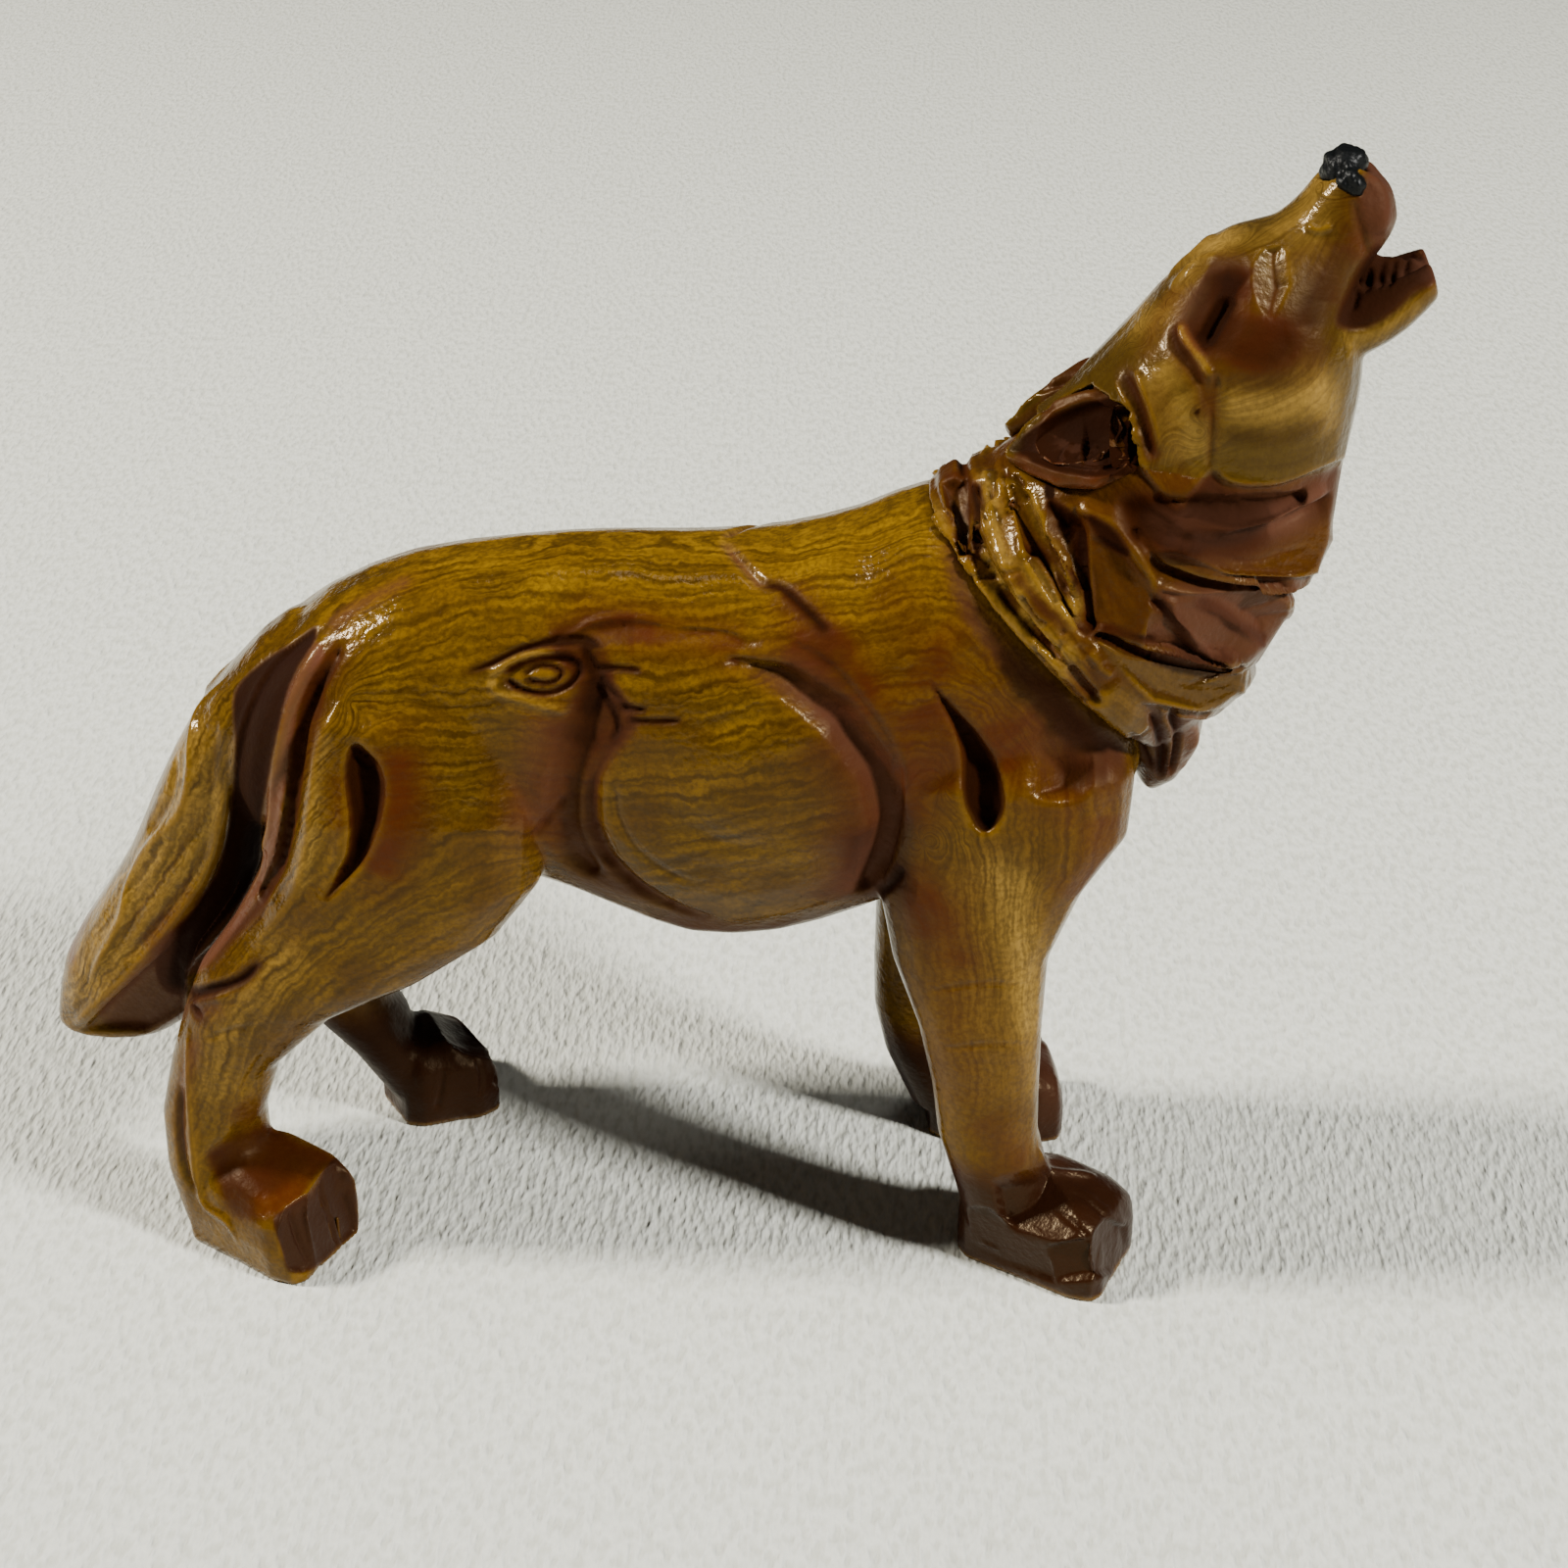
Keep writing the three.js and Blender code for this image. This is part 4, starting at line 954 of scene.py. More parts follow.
def prism(outline, low, high):
    """A closed cutter: an outline in the side view, drawn through from one side to the other."""
    shell = bmesh.new()
    corners = [shell.verts.new((x * mm, low * mm, z * mm)) for x, z in outline]
    face = shell.faces.new(corners)
    grown = bmesh.ops.extrude_face_region(shell, geom=[face])["geom"]
    moved = [part for part in grown if isinstance(part, bmesh.types.BMVert)]
    bmesh.ops.translate(shell, verts=moved, vec=(0, (high - low) * mm, 0))
    bmesh.ops.recalc_face_normals(shell, faces=shell.faces)
    return object_from(shell, "cutter")


def parted(whole, name, outline, low=-40, high=40):
    """Saws a piece off a casting along a cutter's faces and leaves both closed."""
    cutter = prism(outline, low, high)
    planes = [(np.array(face.normal), np.array(face.center)) for face in cutter.data.polygons]
    piece = bpy.data.objects.new(name, whole.data.copy())
    bpy.context.scene.collection.objects.link(piece)
    for made, operation in ((piece, "INTERSECT"), (whole, "DIFFERENCE")):
        saw = made.modifiers.new("saw", "BOOLEAN")
        saw.operation = operation
        saw.solver = "MANIFOLD"
        saw.object = cutter
        apply_modifiers(made)
        cut_planes.setdefault(made.name, []).extend(planes)
    bpy.data.objects.remove(cutter)
    return piece


def finish_piece(made, nodes, material, carving):
    """Shades a piece smoothly but for its saw cuts, gives it its material, hangs it on the root
    body and hides the CAD solids it stands for.
    """
    mesh = made.data
    normals = Skin.read(mesh.polygons, "normal", 3).reshape(-1, 3)
    centres = Skin.read(mesh.polygons, "center", 3).reshape(-1, 3)
    flat = np.zeros(len(mesh.polygons), bool)
    for normal, place in cut_planes.get(made.name, []):
        flat |= (np.abs(normals @ normal) > 0.999) & (
            np.abs((centres - place) @ normal) < 0.01 * mm)
    mesh.polygons.foreach_set("use_smooth", ~flat)
    first = Skin.read(mesh.polygons, "loop_start", 1, np.int32)
    count = Skin.read(mesh.polygons, "loop_total", 1, np.int32)
    edges = Skin.read(mesh.loops, "edge_index", 1, np.int32)
    sharp = np.zeros(len(mesh.edges), bool)
    for face in np.nonzero(flat)[0]:
        sharp[edges[first[face]:first[face] + count[face]]] = True
    mesh.edges.foreach_set("use_edge_sharp", sharp)
    if flat.any():
        corners = Skin.read(mesh.loops, "vertex_index", 1, np.int32)
        carving.recolour(mesh, np.unique(np.concatenate(
            [corners[first[face]:first[face] + count[face]] for face in np.nonzero(flat)[0]])))
    mesh.materials.clear()
    mesh.materials.append(material)
    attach(made, "root")
    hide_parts(*nodes)


tail_cut = [(-29.5, 70), (-31.2, 64.5), (-33.4, 61), (-35.6, 56.5), (-37.6, 51.5), (-38.6, 47),
            (-40, 40.5), (-43, 34.6), (-46.4, 30), (-48, 26), (-49.8, 20.5), (-51.5, 12),
            (-80, 12), (-80, 70)]
fore_cut = [(16.5, -2), (50, -2), (50, 34.7), (16.5, 34.7)]
hind_cut = [(-56, -2), (-14.2, -2), (-14.2, 36.2), (-56, 36.2)]
trunk = body_skin.made
limbs = {
    "tail": (tail_cut, -30, 30),
    "front_right_leg": (fore_cut, -30, wolf_middle),
    "front_left_leg": (fore_cut, wolf_middle, 30),
    "hind_right_leg": (hind_cut, -30, wolf_middle),
    "hind_left_leg": (hind_cut, wolf_middle, 30),
}
for node, (outline, low, high) in limbs.items():
    finish_piece(parted(trunk, "carved_" + node, outline, low, high), [node],
                 honey_resin, body)
finish_piece(trunk, ["torso"], honey_resin, body)

# Mane, head and lower jaw. Three castings carved as one: a collar of stepped tufts with flat
# chisel cuts and V gouges, the skull with the eyes squeezed shut, and the open jaw.
upper_voxel = 0.25
tongue = [((56.2, wolf_middle, 93.4), 1.5), ((57.3, wolf_middle, 95.1), 1.5),
          ((58.9, wolf_middle, 95.1), 1.4), ((60.3, wolf_middle, 95.2), 1.2)]
upper_skin = Skin(skin_over("carved_head", ["mane", "head", "lower_jaw"], upper_voxel, 0.15,
                            tongue))
upper_skin.smooth(11)
upper = Carving(upper_skin)

# flat cuts of the mane, from the collar forwards
upper.facet([(961, 492), (989, 488), (993, 562), (978, 566)], (0.1, 0.5, 0.6, 0.1), 0.6)
upper.facet([(1003, 482), (1028, 480), (1040, 576), (1028, 584)], (-0.4, 0.2, 0.2, -0.4), 0.6)
upper.facet([(1030, 488), (1052, 500), (1064, 544), (1080, 566), (1106, 628), (1096, 630),
             (1062, 568), (1046, 552)], (0.1, -0.3, -0.3, -0.3, -0.1, 0.4, 0.5, 0.4), 0.6)
upper.facet([(1069, 511), (1103, 535), (1107, 600), (1080, 562), (1066, 540)],
            (0.1, 0.6, 0.7, 0.1, 0.1), 0.6)
upper.facet([(1112, 545), (1150, 564), (1178, 600), (1172, 614), (1186, 654), (1123, 641),
             (1116, 638)], (0.5, 0.2, -0.1, -0.1, 0.1, 0.2, 0.4), 0.6)
upper.facet([(1201, 536), (1253, 546), (1297, 537), (1357, 506), (1357, 550), (1342, 584),
             (1318, 590), (1266, 588), (1232, 577), (1186, 562)],
            (0.5, 0.5, 0.5, 0.4, 0, -0.3, -0.4, -0.4, -0.4, -0.2), 0.8)
upper.facet([(1188, 598), (1266, 594), (1318, 596), (1319, 630), (1292, 652), (1253, 624),
             (1222, 610)], (0.3, 0.4, 0.4, 0, -0.1, -0.1, -0.1), 1.4)
upper.facet([(1190, 612), (1222, 616), (1253, 630), (1288, 658), (1272, 678), (1236, 670),
             (1204, 640)], (0.2, 0.2, 0.2, 0.2, -0.1, -0.1, -0.1), 1.2)
upper.facet([(1174, 618), (1200, 642), (1234, 674), (1253, 683), (1210, 677), (1170, 666)],
            (0.1, 0.3, 0.3, 0.1, 0, 0), 0.6)
upper.facet([(1120, 655), (1167, 673), (1253, 689), (1271, 684), (1269, 707), (1227, 724),
             (1180, 712)], (-0.1, -0.3, -0.3, -0.2, -0.1, 0.1, 0.1), 0.8)
upper.ledge([(1184, 563), (1232, 578), (1266, 589), (1318, 591), (1342, 585), (1357, 556)],
            0.15, 0.6, 2, 3, ends=(0.1, 0.02))
upper.ledge([(1271, 684), (1253, 686), (1210, 680), (1167, 669), (1136, 657), (1115, 648)],
            0.2, 0.4, 2.4, 2, ends=(0.03, 0.1), lip=0.3)
upper.ledge([(1160, 716), (1190, 722), (1227, 728), (1262, 717), (1272, 704)], 0.1, 0.6, 2, 3,
            ends=(0.2, 0.02))
upper.hollow([(1144, 513), (1180, 516), (1205, 545), (1200, 560), (1186, 556), (1156, 545)],
             0.7, 2)
chin_hollow = [(1214, 512), (1236, 484), (1251, 498), (1275, 503), (1308, 500), (1340, 488),
               (1366, 478), (1357, 500), (1297, 531), (1253, 538), (1205, 528)]
upper.hollow(chin_hollow, 0.25, 2)
upper.ledge([(1236, 478), (1251, 492), (1275, 497), (1308, 494), (1340, 481), (1370, 468)],
            0.3, 0.3, 3.5, 1.6, ends=(0.1, 0.02))
upper.ledge([(1162, 472), (1184, 502), (1204, 527)], 0.25, 0.3, 2.5, 1.5)
upper.ledge([(1204, 527), (1214, 508), (1236, 480)], 0.25, 0.2, 2.5, 1.2)

# ridges stand and gouges run between them
collar_edge = [(942, 507), (957, 523), (967, 552), (975, 580), (990, 608), (1015, 640),
               (1040, 668), (1070, 695), (1100, 722)]
ridges = [
    (collar_edge, 0.8, 0.3),
    ([(1003, 482), (1012, 523), (1022, 560), (1030, 582)], 0.9, 0.2),
    ([(1003, 598), (1032, 631), (1056, 658), (1090, 692)], 0.9, 0.25),
    ([(1034, 598), (1046, 623), (1060, 640), (1100, 676)], 0.7, 0.2),
    ([(1046, 570), (1060, 595), (1079, 615), (1102, 642)], 0.7, 0.25),
    ([(1052, 503), (1063, 544), (1078, 564), (1094, 595), (1104, 625)], 0.5, 0.35),
    ([(1089, 515), (1134, 533), (1152, 554), (1175, 595), (1187, 611)], 0.8, 0.35),
    ([(1201, 533), (1253, 544), (1297, 535), (1357, 502)], 1.0, 0.3),
    ([(1114, 708), (1141, 728), (1160, 750)], 2.6, 0.7),
    ([(1185, 722), (1193, 752), (1190, 790)], 0.5, 0.35),
    ([(1214, 732), (1219, 755), (1208, 785)], 1.0, 0.45),
    ([(1110, 664), (1122, 680), (1136, 690)], 0.6, 0.35),
]
for line, width, height in ridges:
    upper.groove(line, width, -height, ends=(0.15, 0.15))
gouges = [
    ([(996, 490), (997, 525), (1001, 564)], 0.6, 0.45),
    ([(1018, 600), (1040, 628), (1062, 652), (1096, 686)], 0.5, 0.3),
    ([(1044, 556), (1060, 568), (1073, 588), (1093, 625), (1112, 648)], 0.6, 0.5),
    ([(1103, 533), (1106, 574), (1110, 615), (1116, 646)], 0.5, 0.5),
    ([(1069, 511), (1086, 524), (1101, 536)], 0.5, 0.3),
    ([(1115, 648), (1136, 656), (1167, 669), (1210, 680), (1253, 686)], 0.5, 0.45),
    ([(1173, 613), (1184, 617), (1201, 639), (1219, 661), (1236, 672)], 0.5, 0.4),
    ([(1221, 613), (1253, 626), (1275, 643), (1292, 656)], 0.5, 0.35),
    ([(1123, 642), (1155, 650), (1184, 659)], 0.4, 0.25),
    ([(1173, 728), (1184, 752), (1184, 795)], 0.6, 0.6),
    ([(1197, 726), (1201, 752), (1195, 791)], 0.6, 0.6),
    ([(1150, 740), (1164, 760), (1176, 786)], 0.5, 0.3),
    ([(978, 584), (1005, 590), (1045, 582)], 0.4, 0.25),
    ([(1190, 548), (1253, 558), (1300, 548), (1350, 520)], 0.6, 0.2),
]
for line, width, depth in gouges:
    upper.groove(line, width, depth, sharp=True, ends=(0.12, 0.12))

# narrow flats on the crests, leant over so that the window on the tail side shines on them, and
# fine hairs
to_window = (-0.433, -0.558, 0.709)
for crest, width in (([(1010, 488), (1018, 520), (1032, 574)], 1.5),
                     ([(962, 520), (968, 550), (980, 576)], 1.0),
                     ([(1004, 604), (1034, 636), (1062, 662)], 1.3),
                     ([(1038, 610), (1052, 630), (1064, 644)], 0.9),
                     ([(1084, 684), (1100, 704), (1114, 718)], 1.2),
                     ([(1104, 654), (1114, 668), (1122, 680)], 0.9),
                     ([(1052, 566), (1068, 592), (1084, 614)], 0.9),
                     ([(1028, 488), (1036, 500), (1044, 516)], 1.0)):
    upper.strip(crest, width, to_window)
for hair in ([(1300, 600), (1290, 620), (1270, 636)], [(1314, 606), (1300, 630), (1284, 648)],
             [(1340, 560), (1300, 574), (1260, 574)], [(1120, 560), (1130, 600), (1136, 640)],
             [(1150, 580), (1160, 610), (1162, 650)], [(1210, 700), (1240, 704), (1262, 698)],
             [(1320, 514), (1300, 524), (1270, 530)], [(1260, 512), (1300, 514), (1340, 500)]):
    upper.groove(hair, 0.4, 0.15, sharp=True)

# brow with a flat that faces the far window, eye socket, cheek and muzzle
to_far_window = (0.408, -0.684, 0.604)
upper.facet([(1269, 252), (1307, 253), (1313, 290), (1298, 324), (1277, 306)], 0.15, 0.6,
            turned=to_far_window, sides=(-1,))
upper.hollow([(1206, 300), (1226, 284), (1256, 284), (1270, 300), (1262, 322), (1250, 346),
              (1238, 370), (1222, 374), (1208, 350), (1201, 322)], 0.3, 3)
upper.groove([(1194, 296), (1204, 282), (1222, 266), (1246, 260)], 1.0, -0.3)
upper.groove([(1256, 344), (1284, 350), (1310, 340)], 3.8, -0.15, ends=(0.4, 0.4))
eye_slit = [(1254, 302), (1240, 326), (1227, 352)]
upper.groove(eye_slit, 0.8, 0.8, sharp=True)
upper.groove([(1202, 328), (1208, 345), (1218, 358), (1230, 370), (1237, 390)], 0.7, -0.45)
upper.strip([(1206, 336), (1213, 350), (1224, 362), (1233, 378)], 0.7, to_window)
upper.groove([(1196, 330), (1200, 352), (1212, 372), (1226, 392), (1231, 420)], 0.7, 0.3)
upper.groove([(1240, 378), (1239, 398), (1236, 442), (1234, 480)], 0.7, 0.3)
cheek_crease = [(1146, 378), (1165, 421), (1178, 472)]
upper.groove(cheek_crease, 0.8, 0.5)
upper.groove([(1135, 384), (1152, 417), (1158, 445), (1167, 474), (1182, 500)], 0.6, -0.35)
upper.groove([(1158, 376), (1175, 425), (1184, 462)], 0.6, -0.35)
upper.groove([(1333, 230), (1346, 235), (1361, 229)], 0.5, -0.35)
upper.groove([(1380, 203), (1386, 222), (1391, 244), (1397, 262)], 0.6, 0.3)
upper.groove([(1398, 178), (1412, 205), (1410, 240)], 1.2, -0.3)
mouth = [(1405, 250), (1420, 258), (1438, 257), (1447, 262), (1464, 275), (1462, 286),
         (1445, 296), (1425, 316), (1400, 332), (1376, 336), (1364, 326), (1376, 296),
         (1390, 268)]
for hatch in ([(1400, 272), (1392, 300)], [(1412, 266), (1406, 296)], [(1424, 264), (1418, 292)],
              [(1436, 264), (1432, 282)], [(1386, 292), (1380, 318)]):
    upper.groove(hatch, 0.4, 0.4, sharp=True)
upper.groove([(1376, 334), (1400, 332), (1425, 316), (1445, 296), (1462, 286)], 0.5, 0.3)
upper.finish()

# stain of the mane: brown all over, left yellow on the ridges and on the third tuft
seam_x = (29.8, 37, 45, 56.4, 75)
seam_z = (82.2, 81.2, 80.2, 79.2, 78.6)
on_head = upper_skin.spots[:, 2] > np.interp(upper_skin.spots[:, 0], seam_x, seam_z)
upper.stain_and_painted_light += (~on_head)[:, None] * np.array((0.4, 0.05, 0, 0))
upper.fill([(961, 490), (992, 486), (1000, 562), (978, 566)], 0.5, (0.5, 0.35, 0))
upper.brush([(996, 490), (997, 525), (1001, 564)], 0.8, (0.4, 0.4, 0))
upper.fill([(1069, 511), (1103, 535), (1107, 610), (1080, 562), (1064, 540)], 0.6,
           (0.5, 0.4, 0))
for line, width, _ in gouges[:12]:
    upper.brush(line, width * 1.5, (0.5, 0.6, 0))
# the crests are left yellow and made pale: partly the paint's own colour, partly painted highlight
upper.brush(collar_edge, 1.0, (-0.5, -0.3, 0, 0.5))
for line, width, _ in ridges[1:6]:
    upper.brush(line, width * 1.6, (-0.6, -0.5, 0, 0.7))
upper.brush([(1034, 484), (1052, 510), (1062, 540)], 1.6, (-0.5, -0.2, 0))
# the hollow under the cheek behind the jaw is stained dark: painted shade
upper.fill([(1140, 508), (1184, 508), (1222, 560), (1196, 562), (1150, 548)], 1.2,
           (0.5, 0.5, 0))
upper.fill([(1200, 560), (1250, 572), (1300, 556), (1356, 526), (1360, 500), (1290, 528),
            (1240, 536), (1196, 520), (1170, 530)], 1.4, (0.5, 0.55, 0.2))
upper.fill([(1150, 505), (1200, 496), (1260, 500), (1300, 505), (1290, 560), (1220, 575),
            (1170, 570)], 2, (0.3, 0.35, 0))
upper.fill([(1108, 540), (1150, 560), (1184, 600), (1190, 650), (1122, 640)], 1, (0.1, 0.12, 0))
upper.brush([(1300, 528), (1330, 514), (1356, 500)], 1.6, (0, -0.2, 0.6))
upper.fill([(1112, 529), (1134, 538), (1152, 566), (1124, 552)], 0.4, (0.4, 0.9, 0))
upper.fill([(1067, 494), (1075, 494), (1075, 507), (1067, 507)], 0.2, (0, 1.6, 0))
upper.brush([(1240, 470), (1290, 482), (1340, 470)], 1.6, (-0.3, -0.2, 0))
upper.fill(chin_hollow, 0.8, (0.6, 0.55, 0.2))
upper.fill([(1184, 600), (1266, 592), (1326, 594), (1322, 636), (1288, 668), (1236, 672),
            (1204, 640)], 0.8, (0.35, 0.3, 0.4))
upper.brush([(1176, 640), (1206, 662), (1240, 676)], 1.4, (0.3, 0.2, 0.4))
upper.fill([(1118, 652), (1167, 672), (1253, 688), (1274, 682), (1272, 708), (1227, 728),
            (1180, 716)], 0.8, (-0.6, -0.3, -0.1, 0.1))
upper.fill([(1112, 712), (1140, 700), (1166, 716), (1168, 750), (1140, 762), (1116, 742)], 1,
           (-0.6, -0.3, -0.1, 0.15))
upper.brush([(1214, 732), (1219, 755), (1208, 785)], 1.2, (0.3, 0.15, 0.8))
upper.brush([(1092, 700), (1120, 716)], 2.4, (0.35, 0.15, 0))
upper.fill([(1120, 560), (1150, 570), (1170, 610), (1176, 650), (1124, 640)], 1.2,
           (-0.1, 0, 0))

# stain of the head: red-brown sockets, cheeks and lips, dark slits for the eyes
upper.brush([(1216, 366), (1214, 336), (1230, 304), (1260, 292)], 2.0, (0.9, 0.4, 0))
upper.fill([(1204, 302), (1224, 280), (1254, 274), (1274, 290), (1264, 318), (1250, 346),
            (1238, 370), (1222, 374), (1208, 350), (1200, 322)], 1.2, (0.6, 0.3, 0))
upper.brush(eye_slit, 1.0, (0.5, 1.4, 0))
upper.fill([(1256, 322), (1285, 325), (1312, 330), (1324, 346), (1318, 366), (1298, 377),
            (1268, 374), (1248, 362), (1243, 345)], 1.1, (1.0, 0.5, 0))
upper.fill([(1262, 292), (1300, 300), (1336, 326), (1350, 360), (1336, 386), (1290, 394),
            (1245, 386), (1240, 365), (1254, 330)], 2, (0.45, 0.1, 0))
upper.brush([(1232, 272), (1256, 276), (1272, 288)], 2.2, (0.9, 0.6, 0))
upper.brush([(1246, 440), (1300, 448), (1356, 430)], 1.3, (0.1, 0.35, 0))
upper.brush([(1250, 388), (1300, 392), (1344, 380)], 1.2, (0.1, 0.3, 0))
# pale smears: khaki patches on the cheeks and jaw; on the brow and the top of the muzzle they are
# painted top light
for smear, radius, amount in (
        ([(1250, 410), (1300, 414), (1356, 400)], 2.6, 0.7),
        ([(1180, 370), (1200, 420), (1215, 470)], 3, 0.55),
        ([(1150, 330), (1190, 280), (1230, 250), (1270, 244)], 2.6, 0.6),
        ([(1300, 240), (1330, 215), (1352, 180)], 2.6, 0.5),
        ([(1300, 280), (1330, 262), (1356, 250)], 2.4, 0.35),
        ([(1372, 352), (1410, 334), (1448, 306)], 2, 0.5),
        ([(1330, 370), (1352, 410), (1362, 440)], 2, 0.5)):
    upper.brush(smear, radius, (0, 0, 0, amount))
upper.brush([(1214, 290), (1230, 276), (1252, 272)], 0.9, (-0.3, -0.2, 0))
upper.brush([(1196, 330), (1200, 352), (1212, 372), (1226, 392), (1231, 430)], 1.2,
            (0.6, 0.3, 0))
# a pale line along the lower lid: a painted highlight
upper.brush([(1204, 332), (1211, 346), (1221, 360), (1232, 378)], 0.5, (-0.8, -1.2, 0.2, 1))
upper.brush(cheek_crease, 1.2, (0.8, 0.5, 0))
upper.brush([(1240, 378), (1238, 440), (1234, 480)], 0.7, (0.3, 0.1, 0))
upper.fill([(1397, 166), (1412, 178), (1425, 205), (1422, 228), (1409, 248), (1396, 240),
            (1386, 216), (1391, 190)], 0.8, (0.9, 0.5, 0.45))
upper.brush([(1376, 250), (1362, 280), (1356, 310)], 2.4, (0.6, 0.3, 0))
upper.brush([(1318, 256), (1336, 290), (1336, 336)], 3.6, (0.35, 0.4, 0))
upper.brush([(1340, 300), (1336, 340), (1350, 370)], 2.2, (0.2, 0.2, 0))
upper.brush([(1384, 190), (1378, 215), (1380, 240)], 1.8, (0.5, 0.1, 0))
upper.brush([(1200, 290), (1180, 330), (1170, 370)], 2, (0.4, 0.05, 0))
upper.brush([(1180, 390), (1196, 440), (1206, 490)], 1.2, (0.2, 0.15, 0))
upper.brush([(1380, 236), (1392, 262)], 1.6, (0.7, 0.05, 0))
upper.fill(mouth, 0.5, (1.0, 0.95, 0.1))
upper.brush([(1452, 262), (1462, 276), (1452, 292)], 1.4, (0.8, 0.15, 0.3))
upper.brush([(1220, 419), (1222, 423)], 0.35, (0.3, 1.6, 0))

head_grain = [
    (0, [(1130, 345), (1160, 305), (1200, 262), (1240, 234), (1278, 234), (1300, 225),
         (1340, 182), (1362, 158)]),
    (6, [(1140, 375), (1175, 325), (1200, 288), (1230, 262), (1275, 252), (1310, 232),
         (1352, 182)]),
    (12, [(1165, 420), (1180, 360), (1192, 310), (1220, 274), (1262, 268), (1312, 262),
          (1370, 202)]),
    (18, [(1225, 440), (1238, 400), (1270, 385), (1300, 368), (1320, 330), (1350, 270),
          (1385, 215)]),
    (23, [(1200, 455), (1240, 424), (1290, 410), (1330, 392), (1350, 360), (1362, 330)]),
    (28, [(1205, 490), (1240, 462), (1300, 450), (1360, 425)]),
    (32, [(1240, 480), (1280, 490), (1330, 478), (1372, 452)]),
]
mane_grain = [
    (0, [(946, 500), (965, 560), (985, 610), (1020, 655), (1070, 700), (1130, 750)]),
    (5, [(1000, 484), (1015, 550), (1040, 600), (1085, 660), (1130, 700)]),
    (10, [(1050, 500), (1075, 560), (1110, 620), (1160, 680), (1210, 715)]),
    (15, [(1100, 520), (1150, 575), (1190, 630), (1240, 670), (1270, 680)]),
    (20, [(1150, 520), (1200, 560), (1260, 600), (1310, 630)]),
    (26, [(1190, 520), (1250, 555), (1310, 560), (1355, 540)]),
    (31, [(1215, 510), (1270, 530), (1320, 520), (1362, 490)]),
]
finer_on_head = 1.8
upper.store(np.where(
    on_head, finer_on_head * flow_field(upper_skin, upper.surface, head_grain),
    flow_field(upper_skin, upper.surface, mane_grain)))

below_seam = [*zip(seam_x, seam_z), (75, 30), (10, 30), (10, 82.8)]
jaw_cut = [(51.6, 92.6), (53.6, 94.6), (55.2, 94.95), (56.2, 95.15), (57, 95.8), (58, 96.7),
           (59.6, 98.4), (63, 101), (72, 101), (72, 84), (56, 84), (54.6, 87)]
umber_resin = stained_resin("umber_stained_resin_gloss_varnish", "#2e1804", "#4a3008", 0.3, 1.0)
brushed_resin = stained_resin("brushed_honey_resin_gloss_varnish", "#33240a", "#3f2e0b", 0.0, 0.5)
finish_piece(parted(upper_skin.made, "carved_mane", below_seam), ["mane"],
             umber_resin, upper)
finish_piece(parted(upper_skin.made, "carved_lower_jaw", jaw_cut), ["lower_jaw"],
             brushed_resin, upper)
finish_piece(upper_skin.made, ["head"], brushed_resin, upper)

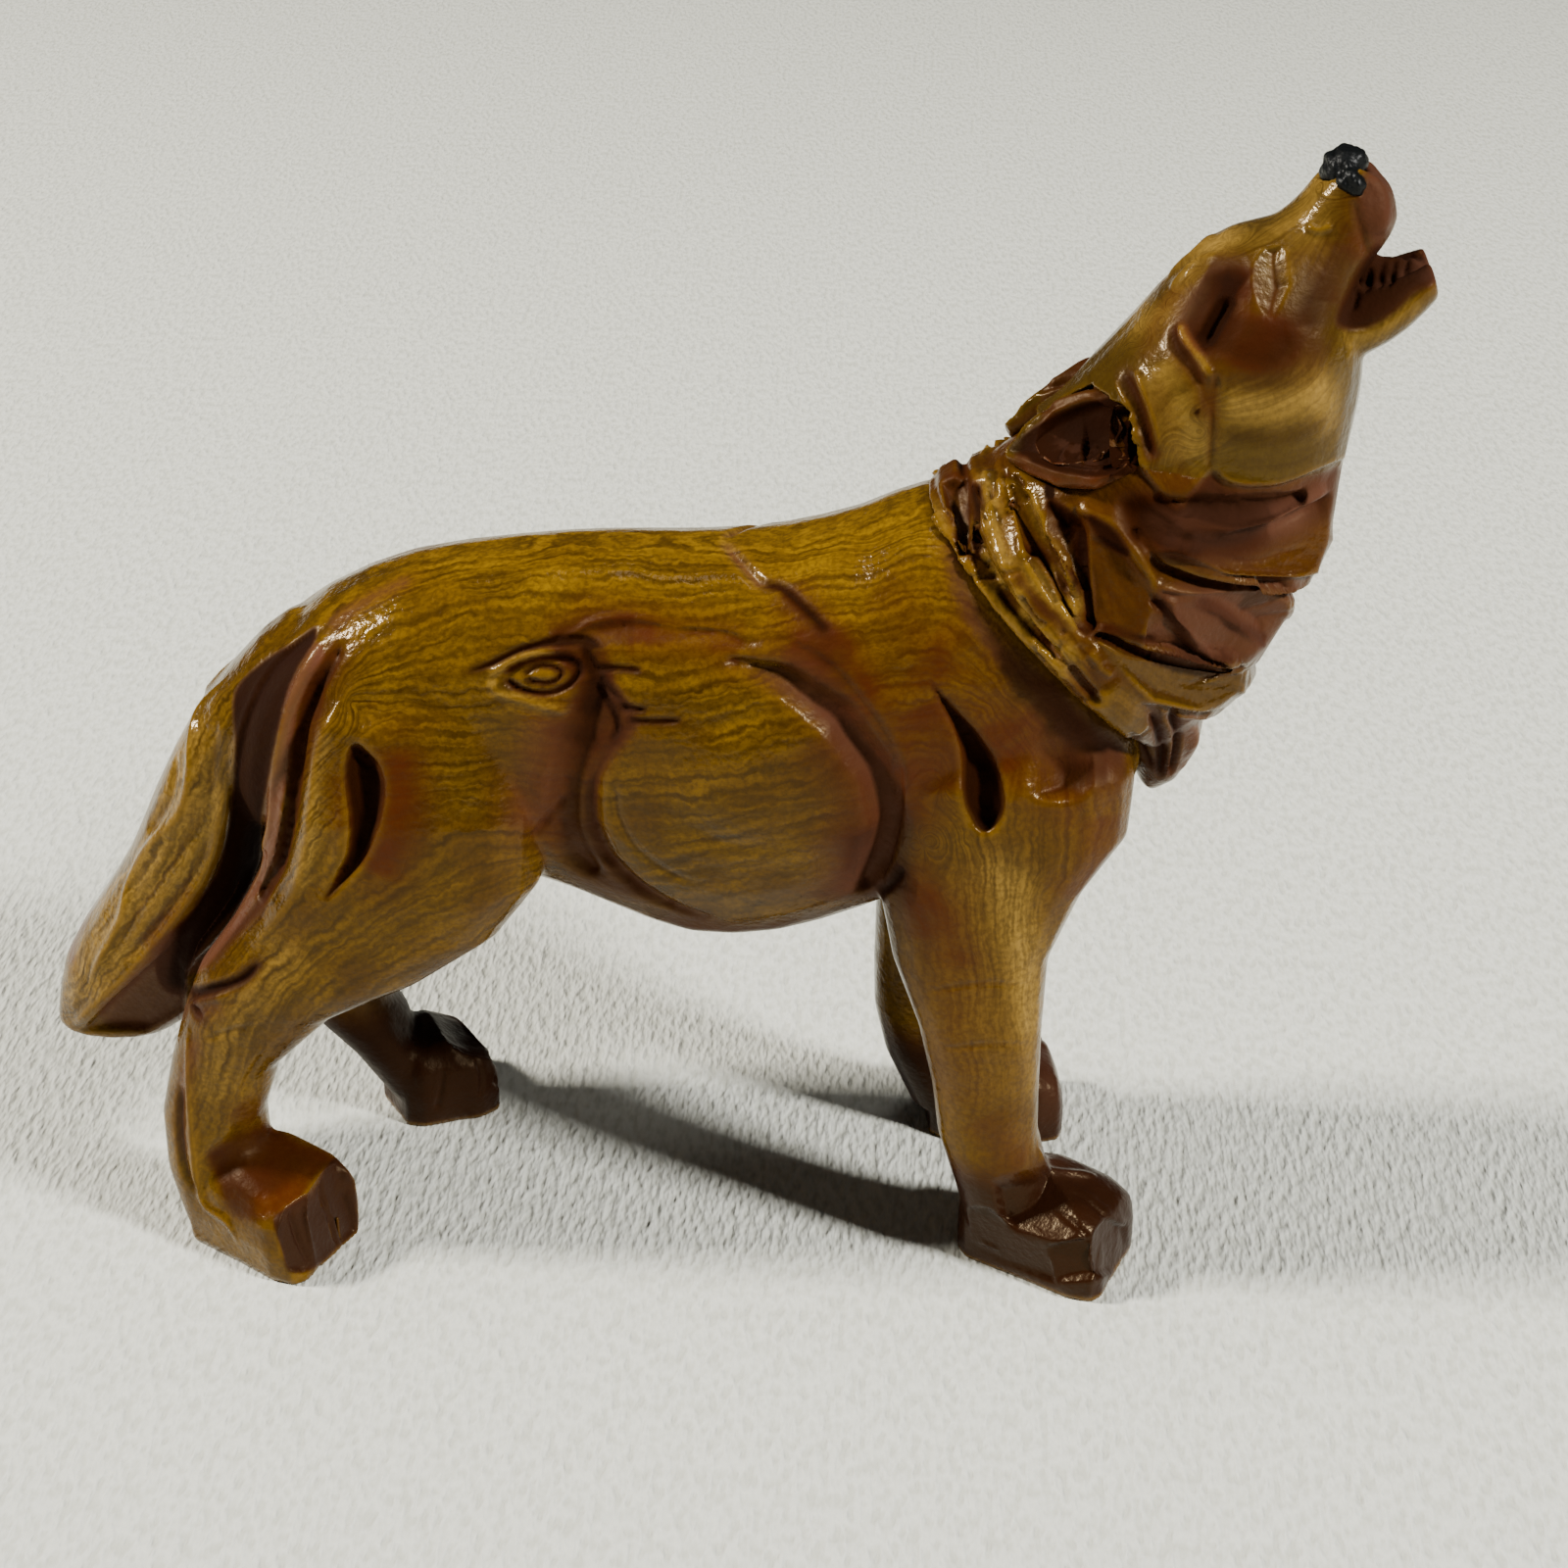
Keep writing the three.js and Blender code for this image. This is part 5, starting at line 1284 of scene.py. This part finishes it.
# Ears. Two small resin castings bonded into the skull and laid back along the nape, each a thin
# leaf scooped hollow and stained nearly black inside, with cut hairs; only its rear rim is yellow.
ear_voxel = 0.16
for node, side in (("right_ear", -1), ("left_ear", 1)):
    ear_skin = Skin(skin_over("carved_" + node, [node], ear_voxel, 0.12))
    ear_skin.smooth(4)
    ear = Carving(ear_skin, sides=(side,))
    leaf = [(1026, 457), (1052, 438), (1085, 421), (1126, 408), (1160, 404), (1176, 440),
            (1170, 482), (1114, 479), (1073, 474), (1050, 466)]
    ear.hollow(leaf, 0.9, 1.4)
    ear.groove([(1052, 466), (1083, 477), (1114, 482), (1148, 479)], 0.5, 0.6, sharp=True)
    ear.groove([(1146, 408), (1152, 440), (1150, 476)], 1.8, 1.0, ends=(0.05, 0.05))
    for fold in ([(1044, 480), (1073, 492), (1103, 497), (1126, 494)],
                 [(1030, 442), (1052, 427), (1085, 409), (1126, 399)]):
        ear.groove(fold, 0.7, -0.3)
    ear.groove([(1052, 412), (1085, 398), (1120, 392)], 0.5, 0.4, sharp=True)
    for hair in ([(1097, 460), (1110, 444)], [(1114, 466), (1122, 452)], [(1128, 468), (1136, 456)],
                 [(1080, 462), (1090, 446)]):
        ear.groove(hair, 0.3, -0.3, sharp=True)
    ear.finish()
    ear.stain_and_painted_light += np.array((0.8, 0.3, 0, 0))
    ear.fill(leaf, 0.4, (0.4, 1.0, 0))
    ear.brush([(1144, 408), (1150, 440), (1148, 476)], 1.6, (0.4, 1.2, 0))
    ear.brush([(1050, 466), (1083, 477), (1114, 482), (1148, 479)], 0.5, (0.3, 1.5, 0))
    ear.brush([(1044, 481), (1080, 493), (1124, 496)], 0.9, (0.2, -0.3, 0.2))
    ear.brush([(1000, 478), (1016, 450), (1036, 433), (1060, 416)], 1.1, (-1.2, -0.6, 0))
    slanted_grain = ear_skin.spots[:, 2] + ear_skin.spots[:, 0] * 0.7
    ear.store(slanted_grain)
    finish_piece(ear_skin.made, [node], brushed_resin, ear)

# Nose. A small resin lump with a broken surface, bonded on the tip of the muzzle between two pads
# and brushed with black gloss enamel, which pools in its dents.
pads = [place for side in (-1, 1) for place in on_skin(
    upper.surface, [(1368, 178), (1376, 184), (1383, 189)], side, straight=True)[0]]
nose_skin = Skin(skin_over("carved_nose", ["nose"], ear_voxel, 0.2,
                           [(place, 0.9) for place in pads]))
dent_pitch, dent_depth = 1.7, 0.08
dents = np.zeros(len(nose_skin.spots))
for turn, stretch in enumerate((1.0, 1.37, 1.9, 2.6)):
    lean = np.array((math.cos(2.1 * turn), math.sin(3.3 * turn), math.cos(1.3 * turn + 1)))
    dents += np.sin(nose_skin.spots @ lean * 2 * np.pi / dent_pitch * stretch + turn) / stretch
nose_skin.spots += nose_skin.facing * dents[:, None] * dent_depth
nose_skin.spots = np.clip(nose_skin.spots, np.array(cad_box[0]) / mm + 0.02,
                          np.array(cad_box[1]) / mm - 0.02)
nose_skin.refresh()
enamel, enamel_tree, enamel_surface = new_material("black_gloss_enamel", **{
    "Roughness": 0.42, "IOR": 1.4, "Specular IOR Level": 0.2})
enamel_place = add(enamel_tree, "ShaderNodeTexCoord", out="Object")
pooled = add(enamel_tree, "ShaderNodeTexNoise", {
    "Vector": enamel_place, "Scale": 1 / (0.5 * mm), "Detail": 2.0})
black = add(enamel_tree, "ShaderNodeMix", {
    0: pooled, 6: linear("#040505"), 7: linear("#080a0b")}, out=2, data_type="RGBA")
enamel_tree.links.new(black, enamel_surface.inputs["Base Color"])
grit = add(enamel_tree, "ShaderNodeBump", {
    "Height": pooled, "Strength": 0.6, "Distance": 0.2 * mm})
enamel_tree.links.new(grit, enamel_surface.inputs["Normal"])
finish_piece(nose_skin.made, ["nose"], enamel, None)
